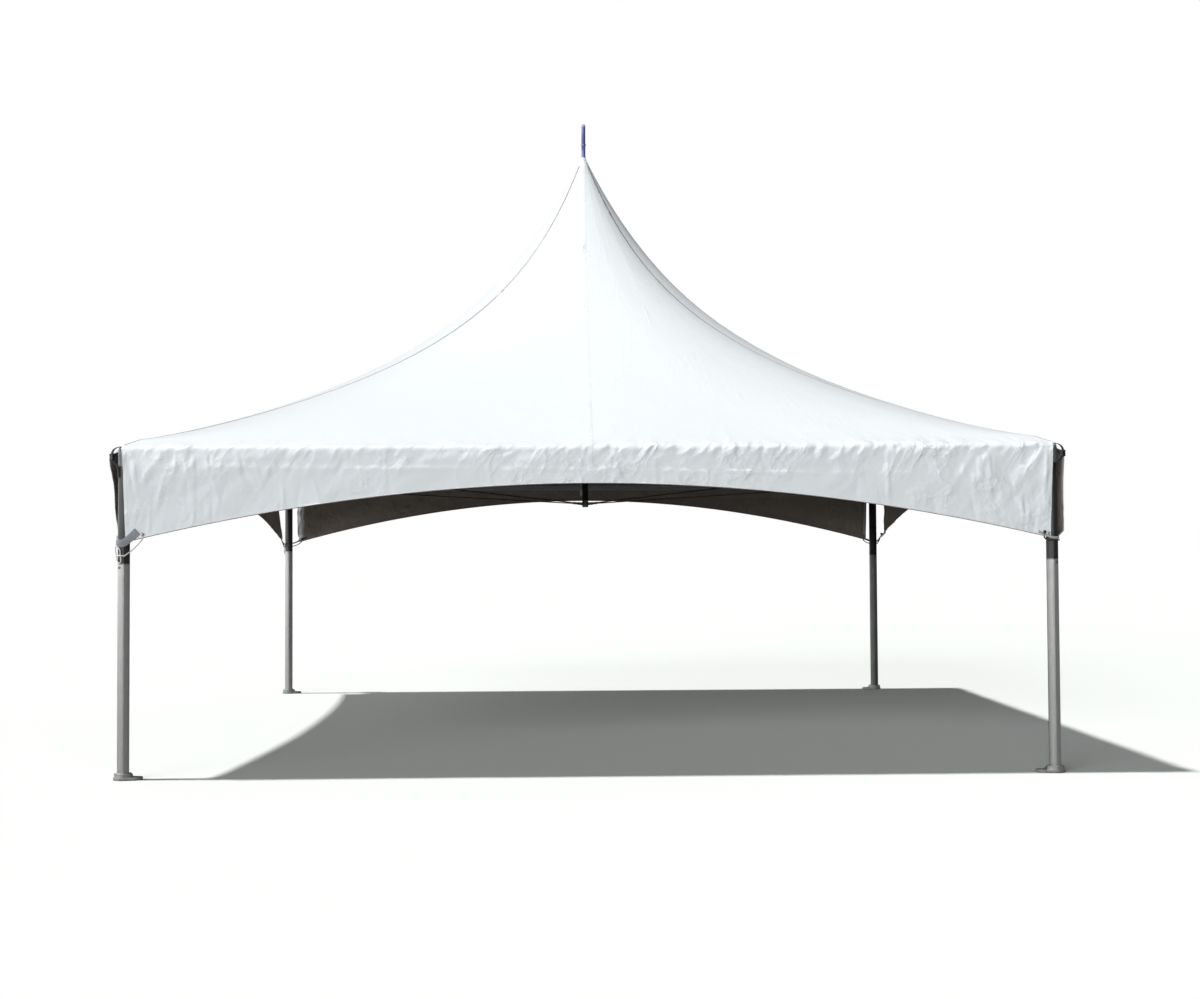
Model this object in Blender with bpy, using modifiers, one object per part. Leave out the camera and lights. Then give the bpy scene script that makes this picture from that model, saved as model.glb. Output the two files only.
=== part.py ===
"""Square marquee tent with one high peak, about 6.1 m on a side, in metres with +Z up.

Four tubular legs stand on base plates and carry four eave beams through ball corners.
A short mast stands on four taut cables that run to the corners, and lifts the middle of
the vinyl roof to a point. An arched valance hangs from each eave, tied back at the legs.
The origin is on the ground under the mast, and the front faces -Y.
"""

import math

import bmesh
import bpy
from mathutils import Vector

# Canopy: outside width, eave fold, and the curve that the roof rises on
CANOPY_WIDTH = 6.10
EAVE_HEIGHT = 2.13
ROOF_RISE = 2.66
STRAIGHT_SHARE = 0.55
CURL_LENGTH = 0.32
HIP_SHARPNESS = 0.7
SQUARE_FROM = 0.96
CROWN_RADIUS = 0.024
CORNER_CUT = 0.030
ROOF_THICKNESS = 0.006

# Valances: height of each arch's middle, where each panel ends, and how its ends flare
VALANCE_THICKNESS = 0.004
HEM_CORNER_HEIGHT = 1.510
HEM_POWER = 1.95
HEM_MIDDLE = {"front": 1.89, "right": 1.92, "back": 1.96, "left": 1.92}
VALANCE_ENDS = {
    "front": (-3.006, 3.006),
    "right": (-3.000, 2.840),
    "back": (-2.960, 2.880),
    "left": (-2.860, 3.000),
}
VALANCE_FLARE = {"front": 0.006, "right": 0.045, "back": 0.012, "left": 0.045}
FLARE_RUN = 0.22
END_TAPER = 0.020

# Frame tubes, and the clear space left between pieces that touch
TUBE_RADIUS = 0.038
TUBE_WALL = 0.003
TUBE_SIDES = 24
GAP = 0.0003

# Ball corners
SHOULDER_REACH = 0.090
SPIGOT_LENGTH = 0.100
EYE_REACH = 0.088
EYE_HEIGHT = 0.034
EYE_THICKNESS = 0.008
# The beams' arms are a little slimmer than the ball, each by its own amount, so no faces coincide
ARM_SHRINK = {"x": 0.0012, "y": 0.0021}

# Base plates: a round end under the leg, a narrower tail towards the tent's middle
PLATE_THICKNESS = 0.018
PLATE_RADIUS = 0.062
TAIL_RADIUS = 0.048
TAIL_REACH = 0.078
SOCKET_RADIUS = 0.056
SOCKET_TOP = 0.042
STAKE_HOLE_RADIUS = 0.012

# Mast, its cables and the spire
MAST_RADIUS = 0.0254
MAST_WALL = 0.003
CABLE_RADIUS = 0.00475
CABLE_MEET_HEIGHT = 1.838
FOOT_BOTTOM = 1.812
FOOT_TOP = 1.866
LUG_REACH = 0.045
LUG_HEIGHT = 0.024
SPIRE_RADIUS = 0.017
SPIRE_TOP = 5.035

# Webbing and rope at the corners
WEBBING_THICKNESS = 0.003
LOOP_WIDTH = 0.030
# The loop's bow, as (out from the roof's cut corner, down from its edge), and its drop to the leg
LOOP_BOW = ((GAP, 0), (0.026, 0), (0.052, 0.014), (0.064, 0.046), (0.058, 0.086))
LOOP_LANDING = 0.165
LOOP_END = 0.200
STRAP_WIDTH = 0.045
STRAP_LAP = 0.095
STRAP_HEIGHT = 1.545
STRAP_CLIMB = 0.035
ROPE_RADIUS = 0.003
ROPE_HEIGHT = 1.450
ROPE_INSET = 0.125

# Worked out from the sizes above
HALF = CANOPY_WIDTH / 2
TUBE_BORE = TUBE_RADIUS - TUBE_WALL
LEG_PLACE = HALF - VALANCE_THICKNESS - GAP - TUBE_RADIUS
CORNERS = {
    "front_left": (-1, -1),
    "front_right": (1, -1),
    "back_left": (-1, 1),
    "back_right": (1, 1),
}
SIDES = ("front", "right", "back", "left")


def roof_height(reach):
    """Height of the roof's outer face, with reach running from 0 at the mast to 1 at the eave."""
    curl = STRAIGHT_SHARE + (1 - STRAIGHT_SHARE) * math.exp(-reach / CURL_LENGTH)
    return EAVE_HEIGHT + ROOF_RISE * (1 - reach) * curl


def hip_rounding(reach, across):
    """How far a contour pulls in from its square: round at the peak, square at the eave."""
    if reach >= SQUARE_FROM:
        return 1.0
    power = 2 / (1 - reach / SQUARE_FROM) ** HIP_SHARPNESS
    return (1 + abs(across) ** power) ** (-1 / power)


EAVE_SLOPE = math.atan((roof_height(SQUARE_FROM) - EAVE_HEIGHT) / ((1 - SQUARE_FROM) * HALF))
UNDER_ROOF = ROOF_THICKNESS + GAP
BEAM_HEIGHT = (
    EAVE_HEIGHT
    + (HALF - LEG_PLACE) * math.tan(EAVE_SLOPE)
    - (UNDER_ROOF + TUBE_RADIUS) / math.cos(EAVE_SLOPE)
)
VALANCE_TOP = EAVE_HEIGHT - ROOF_THICKNESS * math.cos(EAVE_SLOPE) - 2 * GAP
CUT_DISTANCE = HALF * math.sqrt(2) - CORNER_CUT


def clear_scene():
    """Removes every object that the file starts with."""
    for old in list(bpy.data.objects):
        bpy.data.objects.remove(old)


def new_collection(name):
    """Makes a collection under the scene."""
    made = bpy.data.collections.new(name)
    bpy.context.scene.collection.children.link(made)
    return made


def new_material(name, colour, roughness, metallic=0.0):
    """One Principled material for a sub-part."""
    made = bpy.data.materials.new(name)
    made.use_nodes = True
    shader = made.node_tree.nodes["Principled BSDF"]
    shader.inputs["Base Color"].default_value = (*colour, 1)
    shader.inputs["Roughness"].default_value = roughness
    shader.inputs["Metallic"].default_value = metallic
    made.diffuse_color = (*colour, 1)
    return made


def aim(direction):
    """Rotation that turns local +Z to a direction, with local +Y kept as high as it can be."""
    return Vector(direction).normalized().to_track_quat("Z", "Y").to_euler()


def place(name, data, collection, location=(0, 0, 0), direction=(0, 0, 1)):
    """Links an object with its data, standing at a place and pointing local +Z in a direction."""
    made = bpy.data.objects.new(name, data)
    made.location = location
    made.rotation_euler = aim(direction) if tuple(direction) != (0, 0, 1) else (0, 0, 0)
    collection.objects.link(made)
    if collection == cutters:
        made.hide_render = True
        made.display_type = "WIRE"
    return made


def turned(name, profile, collection, location=(0, 0, 0), direction=(0, 0, 1), closed=False):
    """Turns a profile of (radius, height) points round local Z; closed profiles make tubes."""
    mesh = bpy.data.meshes.new(name)
    points = [(radius, 0, height) for radius, height in profile]
    edges = [(i, i + 1) for i in range(len(points) - 1)]
    if closed:
        edges.append((len(points) - 1, 0))
    mesh.from_pydata(points, edges, [])
    made = place(name, mesh, collection, location, direction)
    screw = made.modifiers.new("turn", "SCREW")
    screw.steps = TUBE_SIDES
    screw.render_steps = TUBE_SIDES
    screw.use_merge_vertices = True
    screw.merge_threshold = 0.00005
    weld = made.modifiers.new("close the axis", "WELD")
    weld.merge_threshold = 0.00005
    return made


def pipe(name, start, direction, length, radius, wall, material):
    """A round tube open at both ends."""
    profile = [(radius, length), (radius, 0), (radius - wall, 0), (radius - wall, length)]
    made = turned(name, profile, parts, start, direction, closed=True)
    return finished(made, material)


def box(name, size, collection, location=(0, 0, 0), direction=(0, 0, 1)):
    """A box from the cube primitive, with its own size and its centre at a place."""
    mesh = bpy.data.meshes.new(name)
    shape = bmesh.new()
    bmesh.ops.create_cube(shape, size=1)
    bmesh.ops.scale(shape, verts=shape.verts, vec=size)
    shape.to_mesh(mesh)
    shape.free()
    return place(name, mesh, collection, location, direction)


def cylinder(name, radius, bottom, top, collection, location=(0, 0, 0)):
    """An upright cylinder between two heights."""
    mesh = bpy.data.meshes.new(name)
    shape = bmesh.new()
    bmesh.ops.create_cone(
        shape, cap_ends=True, segments=TUBE_SIDES, radius1=radius, radius2=radius, depth=top - bottom
    )
    bmesh.ops.translate(shape, verts=shape.verts, vec=(0, 0, (top + bottom) / 2))
    shape.to_mesh(mesh)
    shape.free()
    return place(name, mesh, collection, location)


def combine(target, other, operation):
    """Adds an exact Boolean modifier to the target."""
    boolean = target.modifiers.new(operation.lower() + " " + other.name, "BOOLEAN")
    boolean.operation = operation
    boolean.solver = "EXACT"
    boolean.object = other


def finished(made, material):
    """Settles the modifiers into the mesh, shades its rounds smooth and gives it its material."""
    bpy.context.view_layer.update()
    evaluated = made.evaluated_get(bpy.context.evaluated_depsgraph_get())
    made.data = bpy.data.meshes.new_from_object(evaluated)
    made.modifiers.clear()
    made.data.shade_smooth()
    made.data.set_sharp_from_angle(angle=math.radians(35))
    made.data.materials.clear()
    made.data.materials.append(material)
    return made


def ribbon(name, rows, thickness, material, grow=0.0):
    """A thin sheet from rows of points: an open surface, thickened on one side of its faces."""
    count = len(rows[0])
    points = [point for row in rows for point in row]
    faces = []
    for i in range(len(rows) - 1):
        for j in range(count - 1):
            first = i * count + j
            faces.append((first, first + 1, first + count + 1, first + count))
    mesh = bpy.data.meshes.new(name)
    mesh.from_pydata(points, [], faces)
    made = place(name, mesh, parts)
    solid = made.modifiers.new("thickness", "SOLIDIFY")
    solid.thickness = thickness
    solid.offset = grow
    solid.use_even_offset = True
    return finished(made, material)


def line_curve(name, points, radius, sides_resolution, material):
    """A round cord or cable along its points, with filled ends."""
    curve = bpy.data.curves.new(name, "CURVE")
    curve.dimensions = "3D"
    curve.bevel_depth = radius
    curve.bevel_resolution = sides_resolution
    curve.use_fill_caps = True
    spline = curve.splines.new("POLY")
    spline.points.add(len(points) - 1)
    for slot, point in zip(spline.points, points):
        slot.co = (*point, 1)
    made = place(name, curve, parts)
    curve.materials.append(material)
    return made


def smooth_path(points, steps):
    """Points read from a smooth curve through the given points."""
    ends = [2 * points[0] - points[1], *points, 2 * points[-1] - points[-2]]
    path = []
    for i in range(1, len(ends) - 2):
        before, start, end, after = ends[i - 1 : i + 3]
        for step in range(steps):
            t = step / steps
            path.append(
                0.5
                * (
                    2 * start
                    + (end - before) * t
                    + (2 * before - 5 * start + 4 * end - after) * t**2
                    + (3 * start - before - 3 * end + after) * t**3
                )
            )
    path.append(points[-1])
    return path


def corner_point(corner, height=BEAM_HEIGHT):
    """The point on a leg's axis at a height."""
    across, along = CORNERS[corner]
    return Vector((across * LEG_PLACE, along * LEG_PLACE, height))


def cable_direction(corner):
    """Unit vector from a ball corner to the point on the mast's axis where the cables meet."""
    return (Vector((0, 0, CABLE_MEET_HEIGHT)) - corner_point(corner)).normalized()


def make_leg(corner):
    """One leg, from the floor of its socket to the shoulder of its ball corner."""
    bottom = PLATE_THICKNESS + GAP
    length = BEAM_HEIGHT - SHOULDER_REACH - GAP - bottom
    start = corner_point(corner, bottom)
    pipe("leg_" + corner, start, (0, 0, 1), length, TUBE_RADIUS, TUBE_WALL, aluminium)


def plate_outline():
    """Plan of a base plate: two arcs of unlike radius joined by the lines that touch both."""
    turn = math.acos((PLATE_RADIUS - TAIL_RADIUS) / TAIL_REACH)
    points = []
    for step in range(13):
        angle = turn + (2 * math.pi - 2 * turn) * step / 12
        points.append((PLATE_RADIUS * math.cos(angle), PLATE_RADIUS * math.sin(angle)))
    for step in range(9):
        angle = -turn + 2 * turn * step / 8
        points.append((TAIL_REACH + TAIL_RADIUS * math.cos(angle), TAIL_RADIUS * math.sin(angle)))
    return points


def make_base_plate(corner):
    """One base plate: a flat casting with a round socket for the leg and a hole for a stake."""
    across = CORNERS[corner][0]
    name = "base_plate_" + corner
    curve = bpy.data.curves.new(name, "CURVE")
    curve.dimensions = "2D"
    curve.fill_mode = "BOTH"
    curve.extrude = PLATE_THICKNESS / 2
    outline = curve.splines.new("POLY")
    points = plate_outline()
    outline.points.add(len(points) - 1)
    for slot, (x, y) in zip(outline.points, points):
        slot.co = (-across * x, y, 0, 1)
    outline.use_cyclic_u = True
    flat = place(name + "_outline", curve, cutters)
    bpy.context.view_layer.update()
    mesh = bpy.data.meshes.new_from_object(flat.evaluated_get(bpy.context.evaluated_depsgraph_get()))
    bpy.data.objects.remove(flat)
    shape = bmesh.new()
    shape.from_mesh(mesh)
    bmesh.ops.remove_doubles(shape, verts=shape.verts, dist=0.00005)
    bmesh.ops.recalc_face_normals(shape, faces=shape.faces)
    bmesh.ops.translate(shape, verts=shape.verts, vec=(0, 0, PLATE_THICKNESS / 2))
    shape.to_mesh(mesh)
    shape.free()
    foot = corner_point(corner, 0)
    plate = place(name, mesh, parts, foot)
    socket = cylinder(name + "_socket", SOCKET_RADIUS, PLATE_THICKNESS / 2, SOCKET_TOP, cutters, foot)
    bore_top = SOCKET_TOP + PLATE_THICKNESS
    bore = cylinder(name + "_bore", TUBE_RADIUS + GAP, PLATE_THICKNESS, bore_top, cutters, foot)
    stake_place = foot + Vector((-across * (TAIL_REACH + TAIL_RADIUS / 4), 0, 0))
    stake = cylinder(
        name + "_stake", STAKE_HOLE_RADIUS, -PLATE_THICKNESS, 2 * PLATE_THICKNESS, cutters, stake_place
    )
    combine(plate, socket, "UNION")
    combine(plate, bore, "DIFFERENCE")
    combine(plate, stake, "DIFFERENCE")
    finished(plate, cast_metal)


def arm_profile(shoulder_radius, inner_end):
    """Half outline of an arm: a spigot for the tube's bore, then a shoulder as wide as the tube."""
    spigot = TUBE_BORE - GAP
    end = SHOULDER_REACH + SPIGOT_LENGTH
    return [
        (0, end),
        (spigot, end),
        (spigot, SHOULDER_REACH),
        (shoulder_radius, SHOULDER_REACH),
        *inner_end,
    ]


def make_corner_fitting(corner):
    """A ball corner: arms down into the leg and along both beams, and an eye for the cable."""
    across, along = CORNERS[corner]
    name = "corner_fitting_" + corner
    centre = corner_point(corner)
    dome = []
    for step in range(7):
        angle = math.pi / 2 * step / 6
        dome.append((TUBE_RADIUS * math.cos(angle), -TUBE_RADIUS * math.sin(angle)))
    dome[-1] = (0, -TUBE_RADIUS)
    fitting = turned(name, arm_profile(TUBE_RADIUS, dome), parts, centre, (0, 0, -1))
    inside = TUBE_RADIUS / 4
    for letter, direction in (("x", (-across, 0, 0)), ("y", (0, -along, 0))):
        radius = TUBE_RADIUS - ARM_SHRINK[letter]
        profile = arm_profile(radius, [(radius, inside), (0, inside)])
        arm = turned(name + "_arm_" + letter, profile, cutters, centre, direction)
        combine(fitting, arm, "UNION")
    reach = cable_direction(corner)
    length = EYE_REACH - inside
    size = (EYE_THICKNESS, EYE_HEIGHT, length)
    eye = box(name + "_eye", size, cutters, centre + reach * (inside + length / 2), reach)
    combine(fitting, eye, "UNION")
    finished(fitting, cast_metal)


def make_eave_beam(side):
    """One beam between the shoulders of two ball corners."""
    turn = SIDES.index(side) * math.pi / 2
    along = Vector((math.cos(turn), math.sin(turn), 0))
    out = Vector((math.sin(turn), -math.cos(turn), 0))
    half_length = LEG_PLACE - SHOULDER_REACH - GAP
    start = out * LEG_PLACE - along * half_length + Vector((0, 0, BEAM_HEIGHT))
    name = "eave_beam_" + side
    pipe(name, start, along, 2 * half_length, TUBE_RADIUS, TUBE_WALL, aluminium)


def make_cable(corner):
    """One taut cable from a ball corner's eye down to the mast foot's lug."""
    reach = cable_direction(corner)
    start = corner_point(corner) + reach * (EYE_REACH + GAP)
    end = Vector((0, 0, CABLE_MEET_HEIGHT)) - reach * (LUG_REACH + GAP)
    line_curve("mast_cable_" + corner, [start, end], CABLE_RADIUS, 2, cable_steel)


def make_mast():
    """The mast: a tube between its foot and its head, and the spire on top."""
    spigot = MAST_RADIUS - MAST_WALL - GAP
    foot_profile = [
        (0, FOOT_TOP + MAST_RADIUS * 2),
        (spigot, FOOT_TOP + MAST_RADIUS * 2),
        (spigot, FOOT_TOP),
        (MAST_RADIUS, FOOT_TOP),
        (MAST_RADIUS, FOOT_BOTTOM),
        (0, FOOT_BOTTOM),
    ]
    foot = turned("mast_foot", foot_profile, parts)
    for corner in CORNERS:
        reach = cable_direction(corner)
        size = (EYE_THICKNESS, LUG_HEIGHT, LUG_REACH)
        middle = Vector((0, 0, CABLE_MEET_HEIGHT)) - reach * LUG_REACH / 2
        combine(foot, box("mast_foot_lug_" + corner, size, cutters, middle, reach), "UNION")
    finished(foot, cast_metal)

    shoulder = under_crown(MAST_RADIUS)
    collar_top = under_crown(SPIRE_RADIUS + 0.001)
    neck = shoulder[1] - MAST_RADIUS
    head_profile = [
        (0, collar_top[1]),
        collar_top,
        shoulder,
        (MAST_RADIUS, neck),
        (spigot, neck),
        (spigot, neck - MAST_RADIUS * 2),
        (0, neck - MAST_RADIUS * 2),
    ]
    finished(turned("mast_head", head_profile, parts), cast_metal)
    start = FOOT_TOP + GAP
    pipe("mast", (0, 0, start), (0, 0, 1), neck - GAP - start, MAST_RADIUS, MAST_WALL, aluminium)

    bevel = SPIRE_RADIUS / 4
    tip_profile = [
        (0, SPIRE_TOP),
        (SPIRE_RADIUS - bevel, SPIRE_TOP),
        (SPIRE_RADIUS, SPIRE_TOP - bevel),
        (SPIRE_RADIUS, collar_top[1] + GAP),
        (0, collar_top[1] + GAP),
    ]
    finished(turned("mast_tip", tip_profile, parts), blue_paint)


def under_crown(radius):
    """The (radius, height) point just under the roof's inner face, this far from the axis."""
    steepness = (roof_height(0.01) - roof_height(0.02)) / (0.01 * HALF)
    slope = math.atan(steepness)
    outer = radius + (UNDER_ROOF + GAP) * math.sin(slope)
    return radius, roof_height(outer / HALF) - (UNDER_ROOF + GAP) * math.cos(slope)


def roof_surface():
    """The whole roof as one open sheet, from the crown's hole to the eave, hips rounded."""
    ring_count = 12
    across_count = 10
    crown = CROWN_RADIUS / HALF
    spread = 1.8
    reaches = [crown + (SQUARE_FROM - crown) * (i / ring_count) ** spread for i in range(ring_count + 1)]
    reaches.append(1.0)
    bunching = 0.7 * math.pi / 2
    steps = [-1 + 2 * j / across_count for j in range(across_count)]
    points = []
    for reach in reaches:
        for turn in range(4):
            angle = turn * math.pi / 2
            for step in steps:
                across = math.sin(bunching * step) / math.sin(bunching)
                size = HALF * reach * hip_rounding(reach, across)
                x = across * size
                y = -size
                points.append(
                    (
                        x * math.cos(angle) - y * math.sin(angle),
                        x * math.sin(angle) + y * math.cos(angle),
                        roof_height(reach),
                    )
                )
    round_count = 4 * across_count
    faces = []
    for i in range(len(reaches) - 1):
        for j in range(round_count):
            after = (j + 1) % round_count
            low = (i + 1) * round_count
            faces.append((i * round_count + j, low + j, low + after, i * round_count + after))
    mesh = bpy.data.meshes.new("roof_surface")
    mesh.from_pydata(points, [], faces)
    return mesh


def make_roof():
    """Four roof panels: the sheet is thickened inwards, its corners cut, and split at the hips."""
    sheet = roof_surface()
    corner_cutters = []
    for corner, (across, along) in CORNERS.items():
        size = (HALF, 4 * CORNER_CUT, 4 * CORNER_CUT)
        out = Vector((across, along, 0)).normalized()
        middle = out * (CUT_DISTANCE + 2 * CORNER_CUT) + Vector((0, 0, EAVE_HEIGHT))
        corner_cutters.append(box("roof_corner_" + corner, size, cutters, middle, out))
    for turn, side in enumerate(SIDES):
        angle = turn * math.pi / 2
        panel = place("roof_panel_" + side, sheet, parts)
        solid = panel.modifiers.new("thickness", "SOLIDIFY")
        solid.thickness = ROOF_THICKNESS
        solid.offset = -1
        solid.use_even_offset = True
        for cutter in corner_cutters:
            combine(panel, cutter, "DIFFERENCE")
        width = 2 * CANOPY_WIDTH
        quarter = box("roof_quarter_" + side, (width, width, width), cutters)
        quarter.rotation_euler = (0, 0, angle + math.pi / 4)
        away = width / math.sqrt(2) + GAP / math.sqrt(2)
        quarter.location = (away * math.sin(angle), -away * math.cos(angle), EAVE_HEIGHT)
        combine(panel, quarter, "INTERSECT")
        finished(panel, white_vinyl)


def hem_height(side, place_along):
    """Height of a valance's arched lower edge."""
    middle = HEM_MIDDLE[side]
    return middle - (middle - HEM_CORNER_HEIGHT) * abs(place_along / HALF) ** HEM_POWER


def blend(low, high, value):
    """A smooth step from 0 at low to 1 at high."""
    share = min(max((value - low) / (high - low), 0), 1)
    return share * share * (3 - 2 * share)


def side_point(side, along, out, height):
    """A point given along a side, out from the tent's middle, and up."""
    angle = SIDES.index(side) * math.pi / 2
    return Vector(
        (
            along * math.cos(angle) + out * math.sin(angle),
            along * math.sin(angle) - out * math.cos(angle),
            height,
        )
    )


def make_valance(side):
    """One valance: a sheet from the eave to its arched hem, its free ends flaring outwards."""
    first, last = VALANCE_ENDS[side]
    edge_steps = (0, 0.05, ROPE_INSET, FLARE_RUN)
    stations = [first + step for step in edge_steps]
    stations += [first + FLARE_RUN + (last - first - 2 * FLARE_RUN) * i / 12 for i in range(1, 12)]
    stations += [last - step for step in reversed(edge_steps)]
    levels = (0, 0.12, 0.28, 0.5, 0.75, 0.92, 1)
    rows = []
    for level in levels:
        row = []
        for along in stations:
            near_end = 1 - blend(0, FLARE_RUN, min(along - first, last - along))
            taper = END_TAPER * near_end * (1 if along < 0 else -1)
            hem = hem_height(side, along + taper)
            height = hem + (VALANCE_TOP - hem) * level
            flare = VALANCE_FLARE[side] * near_end
            flare *= blend(0.15, 0.45, level) * (1 - blend(0.92, 1, level))
            row.append(side_point(side, along + taper * (1 - level), HALF + flare, height))
        rows.append(row)
    ribbon("valance_" + side, rows, VALANCE_THICKNESS, white_vinyl, grow=-1)


def make_corner_loop(corner):
    """A webbing loop that leaves the roof's cut corner, bows out and ends on the leg."""
    out = Vector((*CORNERS[corner], 0)).normalized()
    side = Vector((-out.y, out.x, 0)) * LOOP_WIDTH / 2
    on_leg = LEG_PLACE * math.sqrt(2) + TUBE_RADIUS + GAP + WEBBING_THICKNESS / 2
    corner_reach = CUT_DISTANCE / math.sqrt(2) / HALF
    edge_height = roof_height(corner_reach) - ROOF_THICKNESS / 2
    route = [(CUT_DISTANCE + away, drop) for away, drop in LOOP_BOW]
    last_away, last_drop = LOOP_BOW[-1]
    nearing = on_leg + (CUT_DISTANCE + last_away - on_leg) / 4
    route.append((nearing, (last_drop + LOOP_LANDING) / 2))
    route.append((on_leg, LOOP_LANDING))
    route.append((on_leg, LOOP_END))
    knots = [out * away + Vector((0, 0, edge_height - drop)) for away, drop in route]
    path = smooth_path(knots[:-1], 2) + knots[-1:]
    rows = [[point - side, point + side] for point in path]
    ribbon("corner_loop_" + corner, rows, WEBBING_THICKNESS, dark_webbing)


def corner_sides(corner):
    """The two sides that meet at a corner, each with which of its ends is there."""
    found = []
    for side in SIDES:
        for end in (0, 1):
            place_along = VALANCE_ENDS[side][end]
            point = side_point(side, place_along, HALF, 0)
            across, along = CORNERS[corner]
            if point.x * across > HALF / 2 and point.y * along > HALF / 2:
                found.append((side, end))
    return found


def inside_end(side, end, distance):
    """The place along a side that is this far in from one end of its valance."""
    end_along = VALANCE_ENDS[side][end]
    return end_along - distance if end_along > 0 else end_along + distance


def make_corner_strap(corner):
    """Webbing sewn to both valances' lower corners and wrapped round the outside of the leg."""
    centre = corner_point(corner, STRAP_HEIGHT)
    radius = HALF - LEG_PLACE + GAP + WEBBING_THICKNESS / 2
    sides = corner_sides(corner)
    outs = [side_point(side, 0, 1, 0) for side, end in sides]
    laps = []
    for side, end in sides:
        along = inside_end(side, end, STRAP_LAP)
        laps.append(side_point(side, along, LEG_PLACE + radius, STRAP_HEIGHT + STRAP_CLIMB))
    path = [laps[0]]
    for step in range(7):
        angle = math.pi / 2 * step / 6
        around = outs[0] * math.cos(angle) + outs[1] * math.sin(angle)
        path.append(centre + around * radius)
    path.append(laps[1])
    up = Vector((0, 0, STRAP_WIDTH / 2))
    rows = [[point - up, point + up] for point in path]
    ribbon("corner_strap_" + corner, rows, WEBBING_THICKNESS, grey_webbing)


def make_corner_rope(corner):
    """A rope from one hem, round the outside of the leg, to the other hem."""
    centre = corner_point(corner, ROPE_HEIGHT)
    radius = TUBE_RADIUS + ROPE_RADIUS + GAP
    sides = corner_sides(corner)
    outs = [side_point(side, 0, 1, 0) for side, end in sides]
    hems = []
    for side, end in sides:
        along = inside_end(side, end, ROPE_INSET)
        hem = hem_height(side, along) - ROPE_RADIUS - 1.5 * GAP
        hems.append(side_point(side, along, HALF - ROPE_RADIUS - GAP, hem))
    wrap = []
    for step in range(-2, 9):
        angle = math.pi / 2 * step / 6
        around = outs[0] * math.cos(angle) + outs[1] * math.sin(angle)
        wrap.append(centre + around * radius)
    knots = []
    for hem, near in ((hems[0], wrap[0]), (hems[1], wrap[-1])):
        middle = hem * 0.5 + near * 0.5 - Vector((0, 0, 0.008))
        knots.append((hem, middle))
    path = smooth_path([knots[0][0], knots[0][1], wrap[0]], 3)
    path += wrap[1:]
    path += smooth_path([wrap[-1], knots[1][1], knots[1][0]], 3)[1:]
    line_curve("corner_rope_" + corner, path, ROPE_RADIUS, 2, white_rope)


clear_scene()
parts = new_collection("marquee_tent")
cutters = new_collection("cutters")

white_vinyl = new_material("white vinyl", (0.86, 0.89, 0.90), 0.45)
aluminium = new_material("mill aluminium", (0.52, 0.52, 0.53), 0.42, 0.9)
cast_metal = new_material("cast metal", (0.40, 0.40, 0.41), 0.55, 0.8)
cable_steel = new_material("cable steel", (0.28, 0.25, 0.23), 0.45, 0.9)
blue_paint = new_material("blue paint", (0.16, 0.20, 0.42), 0.35)
dark_webbing = new_material("dark webbing", (0.03, 0.03, 0.035), 0.8)
grey_webbing = new_material("grey webbing", (0.24, 0.25, 0.27), 0.8)
white_rope = new_material("white rope", (0.78, 0.74, 0.68), 0.85)

for corner in CORNERS:
    make_leg(corner)
    make_base_plate(corner)
    make_corner_fitting(corner)
    make_cable(corner)
    make_corner_loop(corner)
    make_corner_strap(corner)
    make_corner_rope(corner)
for side in SIDES:
    make_eave_beam(side)
    make_valance(side)
make_mast()
make_roof()
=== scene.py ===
# %% [markdown]
# # A square marquee tent with one high peak
# This lesson dresses a plain, exact model of a marquee tent. The frame of tubes, castings and
# cables is already right, so it stays and gets metal finishes. The white top is only a thin
# plain shell there, so a finely meshed cloth takes its place, with the folds of real vinyl.
# Everything is in metres, with the origin on the ground under the mast and the front facing -Y.

# %% Load the frame and measure it
import math

import bmesh
import bpy
import numpy as np
from mathutils import Matrix, Vector


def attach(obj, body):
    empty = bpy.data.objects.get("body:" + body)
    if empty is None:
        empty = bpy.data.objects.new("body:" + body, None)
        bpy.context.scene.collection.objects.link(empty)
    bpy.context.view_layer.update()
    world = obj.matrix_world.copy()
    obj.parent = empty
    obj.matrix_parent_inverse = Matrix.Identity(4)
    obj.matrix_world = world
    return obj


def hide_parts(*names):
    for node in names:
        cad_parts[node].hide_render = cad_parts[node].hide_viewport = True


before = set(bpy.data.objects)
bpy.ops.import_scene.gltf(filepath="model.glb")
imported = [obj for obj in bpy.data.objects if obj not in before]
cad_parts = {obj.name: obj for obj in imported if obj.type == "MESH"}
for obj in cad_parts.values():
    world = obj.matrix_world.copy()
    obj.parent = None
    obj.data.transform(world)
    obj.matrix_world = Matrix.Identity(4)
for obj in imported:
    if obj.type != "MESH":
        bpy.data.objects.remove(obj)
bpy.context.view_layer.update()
print("solids:", len(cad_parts))

# %% [markdown]
# ## The camera comes first
# A photographer stood about ten metres in front of the tent, at eye height. The camera is set
# with three angles that were measured from the tent's own legs, so the picture can be compared
# with the real one from the first render on.

# %% Camera
CAMERA_PLACE = Vector((-0.154, -13.209, 1.469))
CAMERA_YAW = math.radians(1.207)
CAMERA_PITCH = math.radians(1.763)
CAMERA_ROLL = math.radians(-0.315)
CAMERA_LENS = 47.21

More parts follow.
